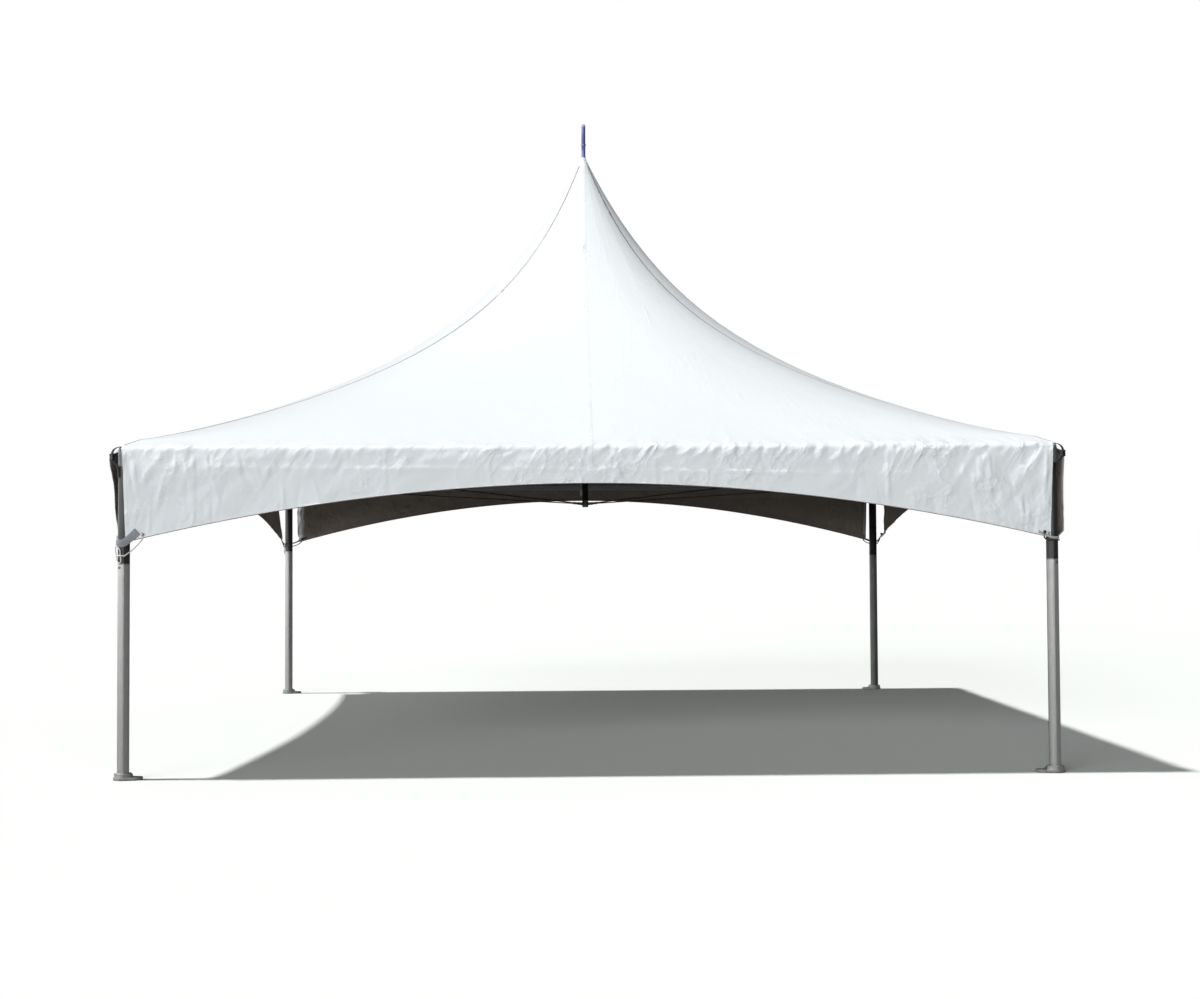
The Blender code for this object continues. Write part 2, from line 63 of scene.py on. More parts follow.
forward = Vector((math.sin(CAMERA_YAW), math.cos(CAMERA_YAW), math.tan(CAMERA_PITCH))).normalized()
level_right = Vector((math.cos(CAMERA_YAW), -math.sin(CAMERA_YAW), 0))
level_up = level_right.cross(forward)
right = level_right * math.cos(CAMERA_ROLL) + level_up * math.sin(CAMERA_ROLL)
up = level_up * math.cos(CAMERA_ROLL) - level_right * math.sin(CAMERA_ROLL)
camera_data = bpy.data.cameras.new("camera")
camera_data.lens = CAMERA_LENS
camera_data.sensor_width = 36
camera_data.clip_end = 500
camera = bpy.data.objects.new("camera", camera_data)
camera.matrix_world = Matrix.Translation(CAMERA_PLACE) @ Matrix((right, up, -forward)).transposed().to_4x4()
bpy.context.scene.collection.objects.link(camera)
bpy.context.scene.camera = camera
print("camera:", [round(value, 2) for value in camera.location], "lens", round(camera_data.lens, 2))

# %% [markdown]
# ## Sizes that everything hangs on
# The cloth follows the same curves as the solids, so their few sizes are written down once. The
# roof climbs from the eave to the peak on one curve. Its contours are round near the peak, where
# the cloth is stretched over a ring, and square at the eave, where it lies on the beams.

# %% The roof's curves
HALF = 3.05
EAVE_HEIGHT = 2.13
ROOF_RISE = 2.66
STRAIGHT_SHARE = 0.55
CURL_LENGTH = 0.32
HIP_SHARPNESS = 0.7
SQUARE_FROM = 0.96
CROWN_RADIUS = 0.024
CORNER_CUT = 0.030
CUT_DISTANCE = HALF * math.sqrt(2) - CORNER_CUT
LEG_PLACE = 3.0077
BEAM_HEIGHT = 2.1016
TUBE_RADIUS = 0.038
SIDES = ("front", "right", "back", "left")
CORNERS = {
    "front_left": (-1, -1),
    "front_right": (1, -1),
    "back_left": (-1, 1),
    "back_right": (1, 1),
}


def roof_height(reach):
    """Height of the roof, with reach from 0 at the mast to 1 at the eave."""
    curl = STRAIGHT_SHARE + (1 - STRAIGHT_SHARE) * math.exp(-reach / CURL_LENGTH)
    return EAVE_HEIGHT + ROOF_RISE * (1 - reach) * curl


def hip_rounding(reach, across):
    """How far a contour pulls in from its square, for an array of places across one side."""
    if reach >= SQUARE_FROM:
        return np.ones_like(across)
    power = 2 / (1 - reach / SQUARE_FROM) ** HIP_SHARPNESS
    return (1 + np.abs(across) ** power) ** (-1 / power)


def turned_to(side, points):
    """Points made for the front, turned in quarter turns to another side."""
    x, y, z = points[..., 0], points[..., 1], points[..., 2]
    cosine, sine = ((1, 0), (0, 1), (-1, 0), (0, -1))[side]
    return np.stack([x * cosine - y * sine, x * sine + y * cosine, z], -1)


def blend(low, high, value):
    """A smooth step from 0 at low to 1 at high."""
    share = np.clip((value - low) / (high - low), 0, 1)
    return share * share * (3 - 2 * share)


def on_leg_axis(corner, height=0.0):
    """A point on the middle line of a corner's leg."""
    across, along = CORNERS[corner]
    return np.array([across * LEG_PLACE, along * LEG_PLACE, height])


OUTWARD = [turned_to(side, np.array([0.0, -1.0, 0.0])) for side in range(4)]
print("peak at", round(roof_height(0), 3), "m, eave at", EAVE_HEIGHT, "m")

# %% [markdown]
# ## The arched valances
# On each side the cloth folds over the eave beam and hangs down as a skirt with an arched lower
# edge. The arch is a power curve. The ends stop short of the corners by different amounts, as
# they do on the real tent, and the side skirts flare out a little where they are tied back.

# %% Where the valances hang
HEM_CORNER_HEIGHT = 1.510
HEM_POWER = 1.95
HEM_MIDDLE = (1.89, 1.92, 1.96, 1.92)
VALANCE_ENDS = ((-3.006, 3.006), (-3.000, 2.840), (-2.960, 2.932), (-2.860, 3.000))
VALANCE_FLARE = (0.006, 0.045, 0.012, 0.049)
FLARE_RUN = 0.22
END_TAPER = 0.020
VALANCE_TOP = 2.124


def hem_height(side, along):
    """Height of a valance's arched lower edge."""
    middle = HEM_MIDDLE[side]
    return middle - (middle - HEM_CORNER_HEIGHT) * np.abs(along / HALF) ** HEM_POWER


for number, name in enumerate(SIDES):
    print(name, "arch:", round(float(hem_height(number, 0.0)), 3), "to", HEM_CORNER_HEIGHT)

# %% [markdown]
# ## Wrinkles as numbers
# Coated vinyl that has been folded in a bag keeps sharp creases, and it puckers where it turns
# over a tube. Each crease here is a short ridge with a place, a lean, a length, a width and a
# height, drawn from a seeded random generator, so each run gives the same cloth. Crushed vinyl
# also falls into facets, and there are two kinds. `facets` are bowls round scattered points: the
# squared distance to the nearest point is a shallow bowl, and two bowls meet in a sharp crease.
# `crushed` is a net of flat triangles at random heights, bent a little so that it isn't regular.

# %% Noise, facets and creases
def soft_noise(x, y, seed):
    """Smooth random values from -1 to 1 on a grid of one unit."""
    table = np.random.RandomState(seed).uniform(-1, 1, (64, 64))
    cell_x, cell_y = np.floor(x).astype(int), np.floor(y).astype(int)
    part_x, part_y = x - cell_x, y - cell_y
    part_x = part_x * part_x * (3 - 2 * part_x)
    part_y = part_y * part_y * (3 - 2 * part_y)
    rows = []
    for step in (0, 1):
        low, high = table[cell_x % 64, (cell_y + step) % 64], table[(cell_x + 1) % 64, (cell_y + step) % 64]
        rows.append(low * (1 - part_x) + high * part_x)
    return rows[0] * (1 - part_y) + rows[1] * part_y


def facets(x, y, seed):
    """Shallow bowls with sharp creases between them, from 0 up to about 0.6."""
    table = np.random.RandomState(seed).uniform(0, 1, (64, 64, 2))
    cell_x, cell_y = np.floor(x).astype(int), np.floor(y).astype(int)
    nearest = np.full(np.shape(x), 9.0)
    for step_x in (-1, 0, 1):
        for step_y in (-1, 0, 1):
            point = table[(cell_x + step_x) % 64, (cell_y + step_y) % 64]
            away_x = cell_x + step_x + point[..., 0] - x
            away_y = cell_y + step_y + point[..., 1] - y
            nearest = np.minimum(nearest, away_x**2 + away_y**2)
    return nearest


def crushed(x, y, seed):
    """Flat triangles at random heights from -1 to 1, joined along straight creases."""
    table = np.random.RandomState(seed).uniform(-1, 1, (64, 64))
    bent_x = x + 0.45 * soft_noise(x * 0.9, y * 0.9, seed + 1)
    bent_y = y + 0.45 * soft_noise(x * 0.9, y * 0.9, seed + 2)
    cell_x, cell_y = np.floor(bent_x).astype(int), np.floor(bent_y).astype(int)
    part_x, part_y = bent_x - cell_x, bent_y - cell_y
    near, far = table[cell_x % 64, cell_y % 64], table[(cell_x + 1) % 64, (cell_y + 1) % 64]
    beside, below = table[(cell_x + 1) % 64, cell_y % 64], table[cell_x % 64, (cell_y + 1) % 64]
    first = near + part_x * (beside - near) + part_y * (below - near)
    second = far + (1 - part_x) * (below - far) + (1 - part_y) * (beside - far)
    return np.where(part_x + part_y < 1, first, second)


def ridges(along, down, marks):
    """Adds up creases, each given as along, down, lean, length, width and height."""
    total = np.zeros_like(along)
    for place, depth, lean, length, width, height in marks:
        run = (along - place) * math.sin(lean) + (down - depth) * math.cos(lean)
        off = (along - place) * math.cos(lean) - (down - depth) * math.sin(lean)
        total += height * np.exp(-((run / length) ** 2) - np.sqrt((off / width) ** 2 + 0.04))
    return total


def random_marks(side, table):
    """Draws creases evenly from each row's ranges, its raised share ridges and the rest valleys."""
    marks = []
    for seed, count, raised, *limits in table:
        draw = np.random.RandomState(seed + side)
        for _ in range(count):
            values = [draw.uniform(*limit) for limit in limits]
            values[5] *= 1 if draw.uniform() < raised else -1
            marks.append(values)
    return marks


print("one random crease:", np.round(random_marks(0, [(1, 1, 0.5, *[(0, 1)] * 6)])[0], 3))

# %% [markdown]
# ## The shape of the slack in the cloth
# Four things move the cloth off its smooth curve: a faint unevenness over the whole roof,
# leaning puckers along the eave, a long crease where the skirt was folded in its bag, and
# crumples that get stronger towards the skirt's free ends. `down` is measured along the cloth
# from the eave, up the roof as negative and down the skirt as positive. The tables give the
# random creases, and a list gives the few large ones that a visitor sees on the front.

# %% Tables of creases
# Each row of random creases: seed, count and share raised, then the ranges of place along, place
# down, lean, length, width and height
LEANING = (-1.15, -0.30)
EAVE_PUCKERS = (
    (100, 70, 0.75, (-2.95, 2.95), (-0.03, 0.055), LEANING, (0.02, 0.055), (0.006, 0.012), (0.003, 0.008)),
    (120, 80, 0.75, (-0.3, 2.97), (-0.03, 0.060), LEANING, (0.02, 0.065), (0.006, 0.012), (0.004, 0.010)),
    (140, 90, 0.50, (-2.95, 2.95), (-0.04, 0.10), (-1.5, 0.3), (0.012, 0.04), (0.005, 0.008), (0.002, 0.005)),
)
SKIRT_CREASES = (
    (160, 80, 0.5, (-3.0, 3.0), (0.05, 0.50), (-0.95, 0.5), (0.03, 0.12), (0.005, 0.010), (0.0015, 0.005)),
    (180, 34, 0.5, (-3.0, 3.0), (0.08, 0.50), (-2.0, -1.2), (0.05, 0.22), (0.005, 0.009), (0.0010, 0.0035)),
    (200, 30, 0.5, (-3.0, -2.35), (0.04, 0.58), (-0.9, 0.3), (0.05, 0.16), (0.006, 0.014), (0.002, 0.007)),
    (220, 44, 0.5, (2.2, 3.0), (0.04, 0.58), (-1.0, 0.6), (0.03, 0.13), (0.006, 0.014), (0.003, 0.009)),
)
ROOF_PUCKERS = (
    (240, 46, 0.5, (-1.6, 1.9), (-2.6, -0.25), (-0.9, 0.2), (0.03, 0.07), (0.010, 0.020), (0.0008, 0.0026)),
)
# Where the skirt was folded in its bag: how far down the crease is at the left, middle and right
BAG_CREASE = ((0.118, 0.150, 0.196), (0.13, 0.15, 0.16), (0.15, 0.14, 0.13), (0.17, 0.15, 0.14))
UPRIGHT_FOLDS = ((-2.55, -1.32, 0.42, 1.93), (-1.6, 0.2, 2.2), (-2.1, -0.4, 1.5), (-1.9, 0.7, 2.3))
# Folds of the front skirt: place, depth, lean, length, width and height of each
FRONT_FOLDS = [
    (2.962, 0.22, -0.03, 0.20, 0.016, 0.016),
    (2.93, 0.06, -0.55, 0.07, 0.012, 0.014),
    (2.885, 0.12, -0.45, 0.08, 0.011, 0.010),
    (2.83, 0.17, -0.50, 0.10, 0.010, 0.009),
    (2.78, 0.20, -0.50, 0.07, 0.009, 0.009),
    (2.55, 0.12, -0.30, 0.10, 0.010, 0.010),
    (2.50, 0.22, -1.35, 0.10, 0.008, 0.006),
    (2.93, 0.42, -0.12, 0.10, 0.012, 0.010),
    (2.82, 0.44, 0.45, 0.08, 0.010, 0.008),
    (2.86, 0.36, -0.9, 0.07, 0.010, -0.008),
    (1.93, 0.27, 0.02, 0.09, 0.010, 0.010),
    (-2.93, 0.20, 0.05, 0.10, 0.012, 0.007),
    (-2.86, 0.18, -0.65, 0.08, 0.009, 0.008),
    (-2.76, 0.27, -0.25, 0.12, 0.009, 0.008),
    (-2.58, 0.14, -0.45, 0.07, 0.009, 0.007),
    (-2.62, 0.27, -1.05, 0.06, 0.009, 0.007),
    (-2.41, 0.40, -0.35, 0.09, 0.008, 0.007),
    (-2.45, 0.36, 0.55, 0.06, 0.008, 0.006),
    (-2.10, 0.20, -0.55, 0.09, 0.009, 0.007),
    (-1.98, 0.31, 0.05, 0.08, 0.008, 0.006),
]
print("random creases a side:", sum(row[1] for row in EAVE_PUCKERS + SKIRT_CREASES + ROOF_PUCKERS))


# %% Cloth relief for one side
def eave_puckers(side, along, down):
    """Leaning puckers where the cloth turns over the beam, more of them on the right half."""
    slant = along + 0.7 * down
    dents = (0.30 - facets(slant * 15, down * 12 + 0.5, 155 + side)) * (0.6 + 0.4 * blend(-0.5, 1.5, along))
    roll = 0.003 * soft_noise(along * 6, down * 8, 150 + side) + 0.007 * dents
    near_eave = np.exp(-(((down - 0.012) / 0.085) ** 2))
    return near_eave * (1.2 * ridges(along, down, random_marks(side, EAVE_PUCKERS)) + roll)


def skirt_crumples(side, along, down):
    """Facets and creases of the hanging part, most of them leaning with the puckers."""
    slant = along + 0.5 * down + 0.03 * soft_noise(along * 5, down * 5, 55 + side)
    large = crushed(slant * 5.5, down * 7, 60 + side)
    patchy = 0.35 + 0.65 * blend(-0.3, 0.5, soft_noise(along * 1.9 + 9, down * 3, 74 + side))
    small = crushed(slant * 14, down * 13, 70 + side) * patchy
    marks = random_marks(side, SKIRT_CREASES)
    marks += [(place, 0.25, 0.02, 0.35, 0.006, 0.0030) for place in UPRIGHT_FOLDS[side]]
    if side == 0:
        marks += FRONT_FOLDS
    calmer = 1 - 0.30 * blend(0.10, 0.22, down) * (1 - blend(2.5, 2.8, np.abs(along)))
    hanging = blend(0.01, 0.09, down) * calmer
    sharper_left = 1.9 - 0.5 * blend(0.0, 1.8, along)
    return hanging * (sharper_left * ridges(along, down, marks) + 0.0060 * large + 0.0034 * small)


def roof_unevenness(side, along, down):
    """Faint swells over the stretched roof, and fine unevenness that stays off the stiff seams."""
    swell = soft_noise(along * 1.6 + side * 9, down * 0.8, 80 + side)
    ripple = soft_noise(along * 5 - down * 2, down * 4.5 + side * 5, 90 + side)
    low = np.exp(-np.clip(-down, 0, 9) / 0.5)
    dents = (facets(along * 9 + down * 3, down * 10, 95 + side) - 0.25) * low
    above = 1 - blend(-0.06, 0.02, down)
    off_seams = blend(0.03, 0.12, np.minimum(np.abs(along), HALF - np.abs(along)))
    puckers = ridges(along, down, random_marks(side, ROOF_PUCKERS))
    fine = (0.0005 + 0.0012 * low) * ripple + 0.0028 * dents + puckers
    return above * (0.003 * swell + off_seams * fine)


def bag_fold(side, along, down):
    """The skirt stands out more and more down to a thin raised crease, then falls back."""
    left, middle, end = BAG_CREASE[side]
    share = along / HALF
    line = middle + (end - left) / 2 * share + ((left + end) / 2 - middle) * share**2
    line = line + 0.006 * soft_noise(along * 2.1 + 7, np.full_like(along, side + 0.5), 40 + side)
    tilt = np.where(down < line, down / line, 1 - (down - line) / 0.20)
    deep = 0.8 + 0.35 * soft_noise(along * 1.3, np.full_like(along, 0.5), 30 + side)
    raised = 0.0050 * np.exp(-np.abs(down - line - 0.004) / 0.011)
    groove_above = 0.0030 * np.exp(-np.abs(down - line + 0.026) / 0.016)
    lip = (raised - groove_above) * (1.1 + soft_noise(along * 2.7, down * 0, 35 + side))
    return (lip + 0.0060 * np.clip(tilt, 0, 1)) * deep * (down > 0)


def relief(side, along, down):
    """How far the cloth stands out from its smooth shape, kept clear of the tubes behind it."""
    near_leg = blend(2.86, 2.98, np.abs(along))
    total = roof_unevenness(side, along, down)
    if down.max() > -0.4:
        total = total + eave_puckers(side, along, down)
    if down.max() > 0:
        total = total + skirt_crumples(side, along, down) + bag_fold(side, along, down) * (1 - near_leg)
        wave = soft_noise(along * 1.1 + 3, down * 1.5, 50 + side)
        total += 0.006 * wave * blend(0.12, 0.45, down)
    lowest = -0.0035 - 0.02 * blend(0.10, 0.16, down) * (1 - near_leg)
    total = np.maximum(total, np.where(down > -0.05, lowest, -0.0055))
    under_strap = blend(2.84, 2.90, np.abs(along)) * blend(0.44, 0.50, down)
    return np.where(total > 0, total * (1 - under_strap), total)


sample_along, sample_down = np.meshgrid(np.linspace(-2.9, 2.9, 200), np.linspace(-0.3, 0.4, 60))
sample = relief(0, sample_along, sample_down)
print("relief on the front: %.1f to %.1f mm" % (sample.min() * 1000, sample.max() * 1000))

# %% [markdown]
# ## One continuous cloth
# The roof and its four skirts are one sewn cloth on the real tent, so they are one mesh here.
# A closed ring of points runs round the tent at each height, and the rings are joined by faces.
# The rings near the peak need few points and the puckered band needs many, so the number of
# points doubles twice on the way down, with a row of triangles at each change.

# %% Rings from the crown to the eave fold
FINE = 576
FOLD_RADIUS = 0.040
FOLD_STEPS = 5
PEAK_PATCH_REACH = 0.018
EAVE_SLOPE = math.radians(26.5)


def fold_rows():
    """Reach, height and distance along the cloth where it turns over the beam."""
    turn = math.pi / 2 - EAVE_SLOPE
    before = FOLD_RADIUS * math.tan(turn / 2)
    rows = []
    for step in range(FOLD_STEPS + 1):
        angle = turn * (1 - step / FOLD_STEPS)
        out = HALF - FOLD_RADIUS + FOLD_RADIUS * math.cos(angle)
        height = EAVE_HEIGHT - before + FOLD_RADIUS * math.sin(angle)
        rows.append((out / HALF, height, FOLD_RADIUS * (turn / 2 - angle)))
    return rows


def roof_rows(start, end, count, spread=1.0):
    """Rows between two reaches, each with its height and its distance up from the eave."""
    rows = []
    for step in range(count):
        reach = start + (end - start) * (step / count) ** spread
        rows.append((reach, roof_height(reach), -(1 - reach) * HALF / math.cos(EAVE_SLOPE)))
    return rows


FOLD = fold_rows()
ZONES = [
    (FINE // 4, roof_rows(CROWN_RADIUS / HALF, 0.80, 20, 1.5)),
    (FINE // 2, roof_rows(0.80, 0.945, 8)),
    (FINE, roof_rows(0.945, FOLD[0][0], 9) + FOLD),
]


def surface_normals(points, closed=True):
    """Outward directions on a grid whose rows run down the cloth."""
    if closed:
        across = np.roll(points, -1, 1) - np.roll(points, 1, 1)
    else:
        across = np.gradient(points, axis=1)
    normal = np.cross(np.gradient(points, axis=0), across)
    return normal / np.maximum(np.linalg.norm(normal, axis=2, keepdims=True), 1e-9)


def draw_in_corners(points):
    """Moves points that lie past a cut corner back along the diagonal onto the cut."""
    past = np.clip(np.abs(points[..., 0]) + np.abs(points[..., 1]) - CUT_DISTANCE * math.sqrt(2), 0, None) / 2
    drawn = points.copy()
    drawn[..., 0] -= np.sign(points[..., 0]) * past
    drawn[..., 1] -= np.sign(points[..., 1]) * past
    return drawn


def ring_zone(columns, rows):
    """The wrinkled rings of one zone, with their distances along the cloth."""
    across = np.linspace(-1, 1, columns, endpoint=False)
    points = []
    for reach, height, down in rows:
        size = HALF * reach * hip_rounding(reach, across)
        flat = np.stack([across * size, -size, np.full(columns, height)], -1)
        points.append(np.concatenate([turned_to(side, flat) for side in range(4)]))
    points = np.array(points)
    along, down = np.meshgrid(across * HALF, [row[2] for row in rows])
    corner_hold = 1 - blend(HALF - 0.05, HALF - 0.01, np.abs(along)) * (down > -0.3)
    amount = np.concatenate([relief(side, along, down) * corner_hold for side in range(4)], 1)
    amount *= blend(0.01, 0.25, np.array([row[0] for row in rows]))[:, None]
    return draw_in_corners(points + surface_normals(points) * amount[..., None])


zones = [ring_zone(columns, rows) for columns, rows in ZONES]
print("rings:", [zone.shape[0] for zone in zones], "points round each:", [zone.shape[1] for zone in zones])

# %% [markdown]
# ## The hanging skirts
# Each skirt starts on the last ring of the fold, between the two columns nearest its ends, and
# goes down in rows to the arched hem. Its free ends taper in and flare out towards the bottom,
# because there the cloth is tied back to the leg.

# %% Skirts
SKIRT_ROWS = 19


def skirt_columns(side):
    """First and last column of the fine ring that the skirt hangs from."""
    return [round((end + HALF) / (2 * HALF) * FINE) for end in VALANCE_ENDS[side]]


def skirt_grid(side):
    """Points and cloth coordinates of a skirt, its first row the fold's last ring."""
    start, stop = skirt_columns(side)
    first, last = VALANCE_ENDS[side]
    columns = np.arange(start, stop + 1)
    even = -HALF + 2 * HALF * columns / FINE
    target = first + (last - first) * (columns - start) / (stop - start)
    top_height, top_down = FOLD[-1][1], FOLD[-1][2]
    points, coordinates = [], [np.stack([even, np.full(even.shape, top_down)], -1)]
    for row in range(1, SKIRT_ROWS + 1):
        share = (row / SKIRT_ROWS) ** 1.25
        along = even + (target - even) * blend(0, 0.3, share)
        near_end = 1 - blend(0, FLARE_RUN, np.minimum(along - first, last - along))
        taper = END_TAPER * near_end * np.where(along < 0, 1, -1)
        hem = hem_height(side, along + taper)
        height = top_height + (hem - top_height) * share
        level = (height - hem) / (VALANCE_TOP - hem)
        hooked = blend(-0.02, 0.06, level) if side == 1 else np.clip((level - 0.06) / 0.84, 0, 1)
        flare = VALANCE_FLARE[side] * near_end * hooked * (1 - blend(0.92, 1, level))
        if side == 2:
            flare = flare + 0.038 * blend(2.868, 2.932, along) * (1 - blend(0.8, 1, level))
        down = top_down + top_height - height
        out = HALF - 0.0006 * blend(0, 0.2, share) + flare + relief(side, along, down)
        points.append(turned_to(side, np.stack([along + taper * (1 - level), -out, height], -1)))
        coordinates.append(np.stack([along, down], -1))
    numbers = (side * FINE + columns) % (4 * FINE)
    return numbers, np.concatenate([zones[2][-1][numbers][None], points]), np.array(coordinates)


skirts = [skirt_grid(side) for side in range(4)]
print("skirt grids:", [points.shape[:2] for numbers, points, coordinates in skirts])

# %% [markdown]
# ## From points to pieces
# A small helper class collects points, faces and flat cloth coordinates, and makes one piece
# from them at the end. Below it are the few shapes that everything else is made of: a sweep
# along a path for ropes, a flat strip for webbing, a turned shape, a ring and a convex block.

# %% A mesh builder
class Builder:
    """Collects points and faces for one piece."""

    def __init__(self):
        self.points, self.faces, self.coordinates, self.kinds = [], [], [], []

    def add_points(self, points):
        """Adds an array of points and returns the number of the first."""
        start = len(self.points)
        self.points.extend(np.asarray(points, float).reshape(-1, 3).tolist())
        return start

    def add_faces(self, corners, flat=None, kind=0):
        """Adds faces, with a cloth coordinate for each corner where there is one."""
        corners = np.asarray(corners)
        if flat is None:
            flat = np.zeros((*corners.shape, 2))
        self.faces.extend(corners.tolist())
        self.coordinates.extend(np.asarray(flat).reshape(-1, 2).tolist())
        self.kinds.extend(np.broadcast_to(np.ravel(kind), (len(corners),)).tolist())

    def join_grid(self, numbers, flat=None, kind=0):
        """Joins a grid of point numbers by four-sided faces."""
        parts = (slice(None, -1), slice(None, -1)), (slice(1, None), slice(None, -1))
        parts += (slice(1, None), slice(1, None)), (slice(None, -1), slice(1, None))
        corners = np.stack([numbers[part].ravel() for part in parts], -1)
        if flat is not None:
            flat = np.stack([flat[part].reshape(-1, 2) for part in parts], 1)
        self.add_faces(corners, flat, kind)

    def add_tube(self, rings, flat=None, kinds=0, capped=True):
        """Adds rings of points as a closed form, its two ends capped or joined to each other."""
        start = self.add_points(rings)
        numbers = start + np.arange(rings.shape[0] * rings.shape[1]).reshape(rings.shape[:2])
        if not capped:
            numbers = np.vstack([numbers, numbers[:1]])
        numbers = np.hstack([numbers, numbers[:, :1]])
        if np.ndim(kinds):
            kinds = np.tile(kinds, numbers.shape[0] - 1)
        self.join_grid(numbers, flat, kinds)
        if capped:
            self.add_faces(numbers[:1, :-1])
            self.add_faces(numbers[-1:, :-1])

    def add_hull(self, points):
        """Adds the convex form round some points."""
        mesh = bmesh.new()
        found = [mesh.verts.new(point) for point in points]
        bmesh.ops.convex_hull(mesh, input=found)
        used = [vert for vert in mesh.verts if vert.link_faces]
        start = self.add_points([tuple(vert.co) for vert in used])
        order = {vert: start + number for number, vert in enumerate(used)}
        for face in mesh.faces:
            self.add_faces([[order[vert] for vert in face.verts]])
        mesh.free()

    def make(self, name, materials, replaced=(), sharp=None, one_sided=False):
        """Makes the piece, rides it on the tent's one body and hides the solids it stands in for."""
        mesh = bpy.data.meshes.new(name)
        mesh.from_pydata(self.points, [], self.faces)
        layer = mesh.uv_layers.new(name="cloth")
        layer.data.foreach_set("uv", np.array(self.coordinates, np.float32).ravel())
        mesh.polygons.foreach_set("material_index", self.kinds)
        for material in materials:
            mesh.materials.append(material)
        if not one_sided:
            shape = bmesh.new()
            shape.from_mesh(mesh)
            bmesh.ops.recalc_face_normals(shape, faces=shape.faces)
            shape.to_mesh(mesh)
            shape.free()
        mesh.shade_smooth()
        if sharp is not None:
            mesh.set_sharp_from_angle(angle=math.radians(sharp))
        piece = bpy.data.objects.new(name, mesh)
        bpy.context.scene.collection.objects.link(piece)
        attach(piece, "root")
        if replaced:
            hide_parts(*replaced)
        print(name, "-", sum(len(face) - 2 for face in self.faces), "triangles")
        return piece


# %% Paths and the shapes along them
def unit(vectors):
    """Vectors of length one."""
    vectors = np.asarray(vectors, float)
    return vectors / np.maximum(np.linalg.norm(vectors, axis=-1, keepdims=True), 1e-9)


def smooth_path(knots, steps):
    """Points read from a smooth curve through the given knots."""
    knots = np.asarray(knots, float)
    ends = np.vstack([2 * knots[0] - knots[1], knots, 2 * knots[-1] - knots[-2]])
    path = []
    for i in range(1, len(ends) - 2):
        before, start, end, after = ends[i - 1 : i + 3]
        for t in np.arange(steps) / steps:
            bend = (2 * before - 5 * start + 4 * end - after) * t**2
            bend = bend + (3 * start - before - 3 * end + after) * t**3
            path.append(0.5 * (2 * start + (end - before) * t + bend))
    return np.array([*path, knots[-1]])


def run_along(path):
    """Distance from a path's start to each of its points."""
    return np.concatenate([[0], np.cumsum(np.linalg.norm(np.diff(path, axis=0), axis=1))])


def sweep(builder, path, outline, turns_per_metre):
    """Sweeps a closed outline along a path, turning it as it goes, as the strands of a rope do."""
    path = np.asarray(path, float)
    ahead = unit(np.gradient(path, axis=0))
    side = np.cross(ahead[0], (0, 0, 1) if abs(ahead[0][2]) < 0.9 else (1, 0, 0))
    sides = []
    for direction in ahead:
        side = unit(side - direction * np.dot(side, direction))
        sides.append(side)
    sides = np.array(sides)
    other = np.cross(sides, ahead)
    angle = 2 * math.pi * turns_per_metre * run_along(path)[:, None, None]
    x, y = outline[None, :, 0:1], outline[None, :, 1:2]
    first = x * np.cos(angle) - y * np.sin(angle)
    second = x * np.sin(angle) + y * np.cos(angle)
    builder.add_tube(path[:, None, :] + first * sides[:, None, :] + second * other[:, None, :])


def lobed(radius, lobes, depth, points):
    """Outline of a rope laid from strands: a circle with a bump for each strand."""
    angle = 2 * math.pi * np.arange(points) / points
    reach = radius * (1 - depth + depth * np.abs(np.cos(lobes * angle / 2)))
    return np.stack([reach * np.cos(angle), reach * np.sin(angle)], -1)


def webbing(builder, path, across, width, thickness):
    """A flat woven strip along a path, with the direction of its width at each point."""
    path, across = np.asarray(path, float), unit(across)
    normal = unit(np.cross(np.gradient(path, axis=0), across))
    half = ((-0.5, 0.3), (-0.46, 0.5), (0.46, 0.5), (0.5, 0.3))
    outline = np.array(half + tuple((-x, -y) for x, y in half)) * (width, thickness)
    sideways = outline[None, :, 0:1] * across[:, None, :]
    rings = path[:, None, :] + sideways + outline[None, :, 1:2] * normal[:, None, :]
    around = np.append(outline[:, 0], outline[0, 0])
    flat = np.stack(np.meshgrid(around, run_along(path)), -1)
    builder.add_tube(rings, flat)


print("a rope's outline:", lobed(0.005, 3, 0.22, 12).shape[0], "points round")


# %% Turned, cut and ring shapes
def axes_of(direction, hint=(0, 0, 1)):
    """Three directions at right angles, the last one the given one."""
    last = unit(direction)
    first = np.cross(hint, last)
    if np.linalg.norm(first) < 0.01:
        first = np.cross((1, 0, 0), last)
    first = unit(first)
    return np.array([first, np.cross(last, first), last])


def lathe(builder, profile, place, direction=(0, 0, 1), steps=24):
    """A turned form from (radius, height) pairs, with flat ends."""
    first, second, last = axes_of(direction)
    angle = 2 * math.pi * np.arange(steps)[None, :, None] / steps
    radius = np.array([pair[0] for pair in profile])[:, None, None]
    height = np.array([pair[1] for pair in profile])[:, None, None]
    rings = np.asarray(place) + last * height + radius * (first * np.cos(angle) + second * np.sin(angle))
    builder.add_tube(rings)


def hoop(builder, place, direction, radius, thickness):
    """A ring of round section, for eyelets."""
    first, second, last = axes_of(direction)
    steps = 20
    turn = 2 * math.pi * np.arange(steps)[:, None, None] / steps
    angle = 2 * math.pi * np.arange(8)[None, :, None] / 8
    out = first * np.cos(turn) + second * np.sin(turn)
    rings = np.asarray(place) + out * radius + thickness * (unit(out) * np.cos(angle) + last * np.sin(angle))
    builder.add_tube(rings, capped=False)


